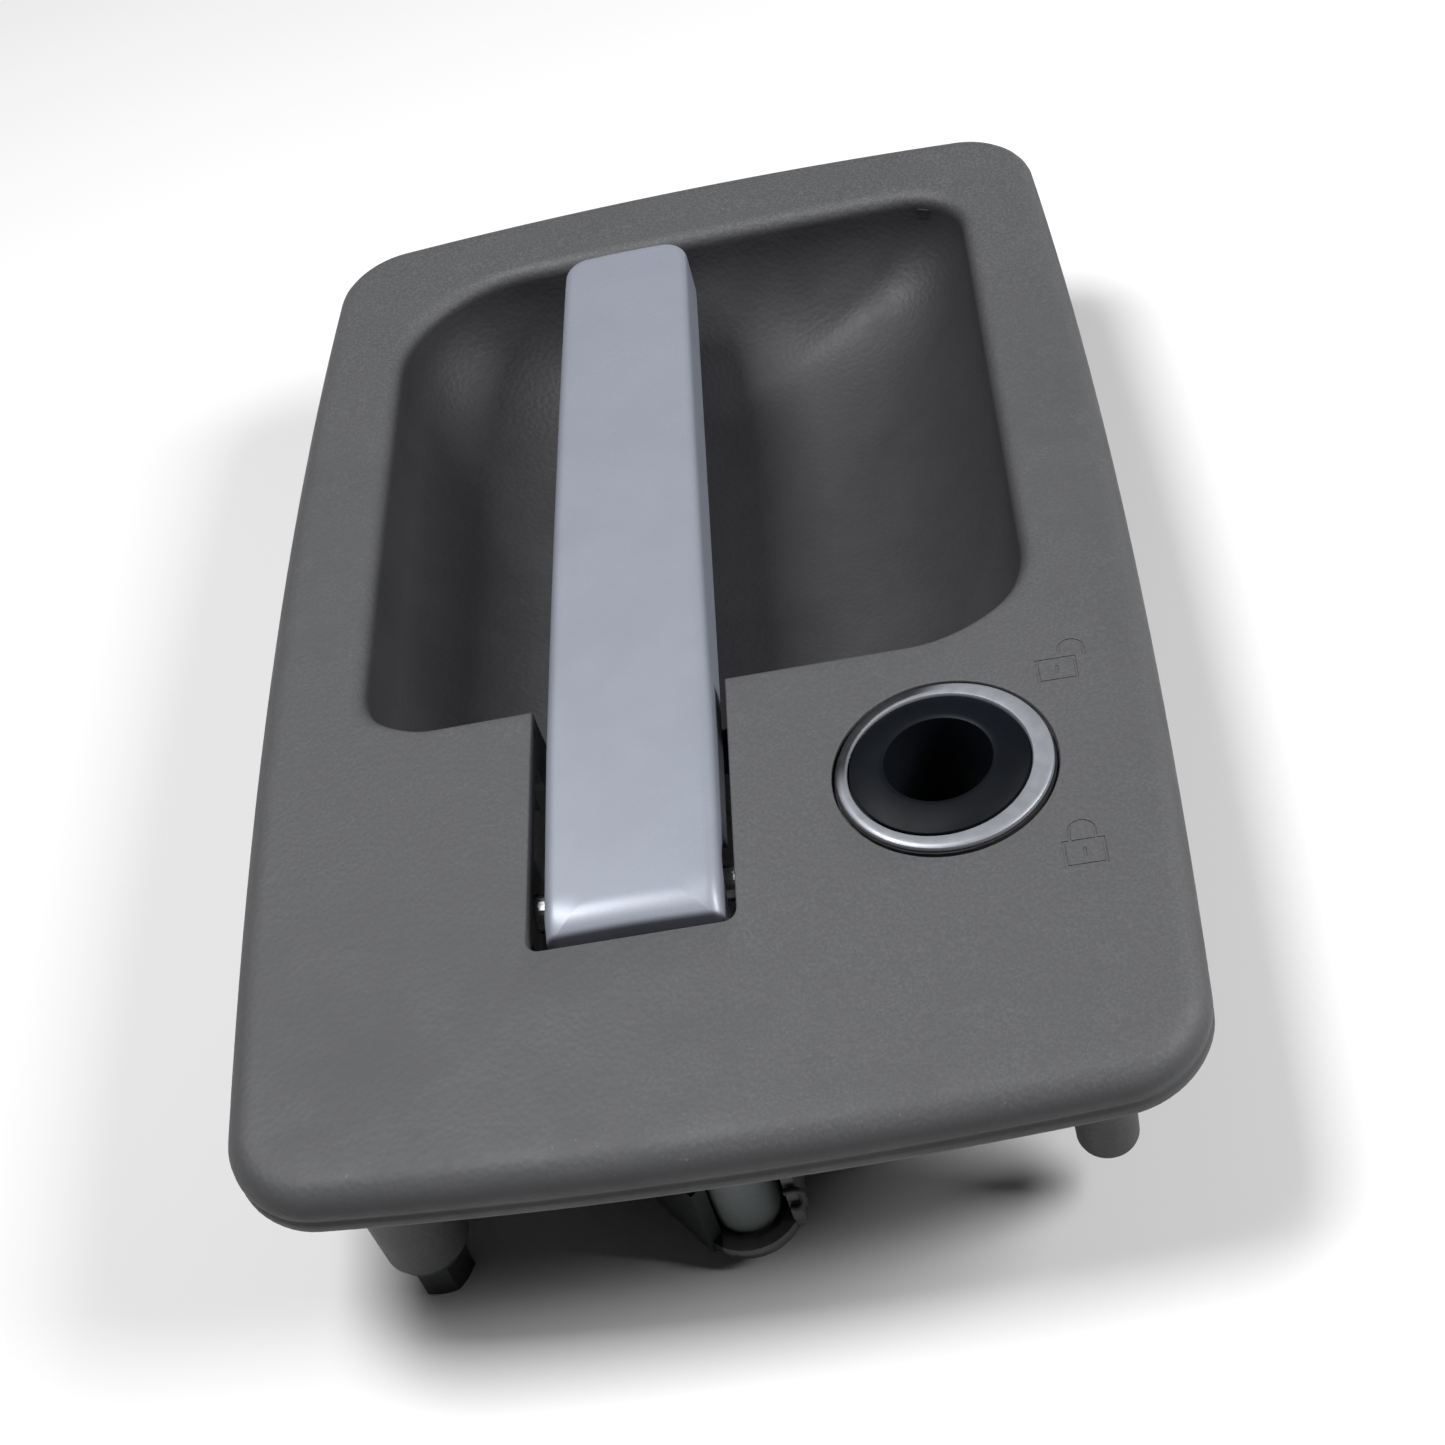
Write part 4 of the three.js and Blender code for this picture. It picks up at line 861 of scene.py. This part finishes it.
def bezel_finish():
    """Satin plating, with a painted dark reflection on the outer half of the band towards the upper
    left.
    """
    g = Graph("bezel_metal_satin")
    streaks = g.noise(1.0, 4, 0.6, g.stretched((400, 400, 1200)))
    plated = g.mix(g.ramp(g.noise(70, 4), 0.35, 0.7), (0.27, 0.28, 0.31), (0.30, 0.31, 0.34))
    x, y = g.minus(g.axis("X"), LOCK_X * MM), g.minus(g.axis("Y"), LOCK_Y * MM)
    aside = g.math("ADD", g.times(x, -0.72), g.times(y, 0.69))
    outer_half = g.ramp(g.distance(LOCK_X, LOCK_Y), 0.0148, 0.0152)
    # Painted reflection: the outer half of the band darkens towards the upper left.
    dark_reflection = g.times(g.ramp(aside, 0.0085, 0.0135), outer_half)
    colour = g.mix(dark_reflection, plated, (0.035, 0.036, 0.040))
    rough = g.ramp(streaks, 0.3, 0.7, 0.32, 0.46)
    return g.finish(colour, rough, g.bump(streaks, 0.06, 0.0001), metallic=0.4)


def metal(name, base, low, high, stretch=(60, 60, 900), metallic=1.0, tarnish=0.75):
    """A metal with a drawn grain and patches of tarnish."""
    g = Graph(name)
    streaks = g.noise(1.0, 4, 0.6, g.stretched(stretch))
    colour = g.mix(g.ramp(g.noise(70, 4), 0.35, 0.7), scaled(base, tarnish), base)
    rough = g.ramp(streaks, 0.3, 0.7, low, high)
    return g.finish(colour, rough, g.bump(streaks, 0.06, 0.0001), metallic=metallic)


LOOKS = {
    "fascia_plastic": fascia_plastic(),
    "lever_paint": lever_paint(),
    "black_plastic": moulded("black_plastic_glass_filled", (0.009, 0.0095, 0.010), specular=0.4),
    "lock_black": moulded("lock_black_satin", (0.003, 0.004, 0.006), 0.44, 0.54, 2600, 0.12),
    "bezel_metal": bezel_finish(),
    "seal_rubber": rubbery(),
    "zinc_steel": metal("zinc_steel_passivated", (0.48, 0.49, 0.50), 0.28, 0.46),
    "dark_steel": metal("dark_steel_phosphate", (0.022, 0.024, 0.024), 0.42, 0.6,
                        (500, 500, 500), 0.5),
    "insert_brass": metal("insert_brass_turned", (0.55, 0.40, 0.17), 0.25, 0.42),
    "acetal": moulded("acetal_natural", (0.55, 0.54, 0.48), 0.38, 0.5, 900),
}


def dress(obj, slot, body, *nodes):
    """Gives a new piece its look, its slot, its body and the nodes that it stands for."""
    obj.data.materials.clear()
    obj.data.materials.append(LOOKS[slot])
    if body:
        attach(obj, body)
    if nodes:
        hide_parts(*nodes)
    return obj


def soft_edges(obj, width=0.22):
    """Small roundings and smooth facets on a carried-over node, without touching its mesh."""
    bevel = obj.modifiers.new("edges", "BEVEL")
    bevel.width = width * MM
    bevel.segments = 2
    bevel.limit_method = "ANGLE"
    bevel.angle_limit = math.radians(38)
    bevel.use_clamp_overlap = True
    smooth = obj.modifiers.new("smooth", "NODES")
    smooth.node_group = SMOOTHER


def smoother():
    """Smooth shading but for edges sharper than 34 degrees."""
    tree = bpy.data.node_groups.new("smooth_by_angle", "GeometryNodeTree")
    tree.interface.new_socket("Geometry", in_out="INPUT", socket_type="NodeSocketGeometry")
    tree.interface.new_socket("Geometry", in_out="OUTPUT", socket_type="NodeSocketGeometry")
    nodes, links = tree.nodes, tree.links
    start, end = nodes.new("NodeGroupInput"), nodes.new("NodeGroupOutput")
    faces, edges = nodes.new("GeometryNodeSetShadeSmooth"), nodes.new("GeometryNodeSetShadeSmooth")
    faces.domain, edges.domain = "FACE", "EDGE"
    angle, limit = nodes.new("GeometryNodeInputMeshEdgeAngle"), nodes.new("FunctionNodeCompare")
    limit.inputs["B"].default_value = math.radians(34)
    edges.inputs["Shade Smooth"].default_value = False
    links.new(start.outputs[0], faces.inputs["Geometry"])
    links.new(faces.outputs[0], edges.inputs["Geometry"])
    links.new(angle.outputs["Unsigned Angle"], limit.inputs["A"])
    links.new(limit.outputs[0], edges.inputs["Selection"])
    links.new(edges.outputs[0], end.inputs[0])
    return tree


SMOOTHER = smoother()

# ---- Pieces ----

dress(fascia_housing(), "fascia_plastic", "housing", "fascia_housing")
dress(perimeter_seal(), "seal_rubber", "housing", "perimeter_seal")
dress(lever_cover(), "lever_paint", "pull_lever", "lever_cover")
dress(lock_sleeve(), "lock_black", "housing", "lock_sleeve")
dress(cup_hook(), "black_plastic", "housing")
dress(lock_bezel(), "bezel_metal", "housing", "lock_bezel_ring")
for corner, (bolt_x, bolt_y) in BOLT_AT.items():
    bolt = mounting_bolt(f"bolt_{corner}", bolt_x, bolt_y)
    dress(bolt, "dark_steel", "housing", f"mounting_bolt_{corner}")

spring = dress(return_spring(), "zinc_steel", None, "return_spring")
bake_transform(spring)

KEPT = {
    "lever_carrier": "black_plastic", "cover_screw_1": "dark_steel", "cover_screw_2": "dark_steel",
    "hinge_bush_left": "acetal", "hinge_bush_right": "acetal", "hinge_pin": "zinc_steel",
    "hinge_pin_clip": "dark_steel",
    "bump_stop_left": "seal_rubber", "bump_stop_right": "seal_rubber",
    "mechanism_bracket": "black_plastic",
    "bracket_screw_1": "dark_steel", "bracket_screw_2": "dark_steel",
    "cup_screw": "dark_steel", "transfer_lever": "dark_steel", "transfer_pin": "zinc_steel",
    "transfer_pin_clip": "dark_steel", "rod_clip": "acetal", "lock_seal": "seal_rubber",
    "sleeve_clip": "zinc_steel", "lock_driver": "zinc_steel", "lock_tail": "dark_steel",
    "lock_tail_clip": "dark_steel", "threaded_insert_lower_left": "insert_brass",
    "threaded_insert_upper_left": "insert_brass", "threaded_insert_upper_right": "insert_brass",
}
for node, look in KEPT.items():
    kept = bpy.data.objects[node]
    for slot_index in range(len(kept.material_slots)):
        kept.material_slots[slot_index].material = LOOKS[look]
    soft_edges(kept)
bpy.data.objects["mechanism_bracket"].material_slots[0].material = bracket_plastic()

# ---- Stage, light and camera ----

FLOOR = 3000
floor_corners = [(-FLOOR, -FLOOR, 0), (FLOOR, -FLOOR, 0), (FLOOR, FLOOR, 0), (-FLOOR, FLOOR, 0)]
floor = mesh_object("floor", floor_corners, [(0, 1, 2, 3)])


def paper():
    """Pale matt paper that glows a little far from the object, where the lamps don't reach."""
    g = Graph("floor_paper")
    g.shader.inputs["Emission Color"].default_value = (1.0, 1.0, 1.0, 1.0)
    g.link(g.ramp(g.distance(0, 0), 0.40, 1.1, 0.0, 0.85), g.shader.inputs["Emission Strength"])
    return g.finish(g.mix(g.noise(3, 2), (0.80, 0.80, 0.80), (0.83, 0.83, 0.83)),
                    g.ramp(g.noise(5), 0, 1, 0.7, 0.8))


floor.data.materials.append(paper())

scene = bpy.context.scene
world = bpy.data.worlds.new("studio")
world.use_nodes = True
sky_nodes, sky_links = world.node_tree.nodes, world.node_tree.links
sky, path = sky_nodes["Background"], sky_nodes.new("ShaderNodeLightPath")
backdrop = sky_nodes.new("ShaderNodeMapRange")
sky.inputs["Color"].default_value = (1.0, 1.0, 1.0, 1.0)
FILL, BACKDROP = 0.03, 0.9
backdrop.inputs["To Min"].default_value, backdrop.inputs["To Max"].default_value = FILL, BACKDROP
sky_links.new(path.outputs["Is Camera Ray"], backdrop.inputs["Value"])
sky_links.new(backdrop.outputs["Result"], sky.inputs["Strength"])
scene.world = world


def softbox(name, place, target, size, power):
    light = bpy.data.lights.new(name, "AREA")
    light.shape = "RECTANGLE"
    light.size, light.size_y = size
    light.energy = power
    lamp = bpy.data.objects.new(name, light)
    lamp.location = place
    lamp.rotation_euler = (Vector(target) - Vector(place)).to_track_quat("-Z", "Y").to_euler()
    scene.collection.objects.link(lamp)


LIT, BOX = (0, 0, 0.04), (0.34, 0.34)
softbox("left", (-0.30, 0.04, 0.85), LIT, BOX, 7.7)
softbox("right", (0.62, -0.12, 0.55), LIT, BOX, 6.4)

camera = bpy.data.objects.new("camera", bpy.data.cameras.new("camera"))
camera.data.lens = 57.78
camera.data.sensor_width = 36.0
camera.data.clip_start = 0.01
camera_at = (0.0532, -0.2890, 0.3043)
camera_turn = Matrix(((0.9772, 0.1668, 0.1313),
                      (-0.0310, 0.7238, -0.6893),
                      (-0.2100, 0.6695, 0.7125)))
camera.matrix_world = Matrix.Translation(camera_at) @ camera_turn.to_4x4()
scene.collection.objects.link(camera)
scene.camera = camera
scene.view_settings.view_transform = "Standard"
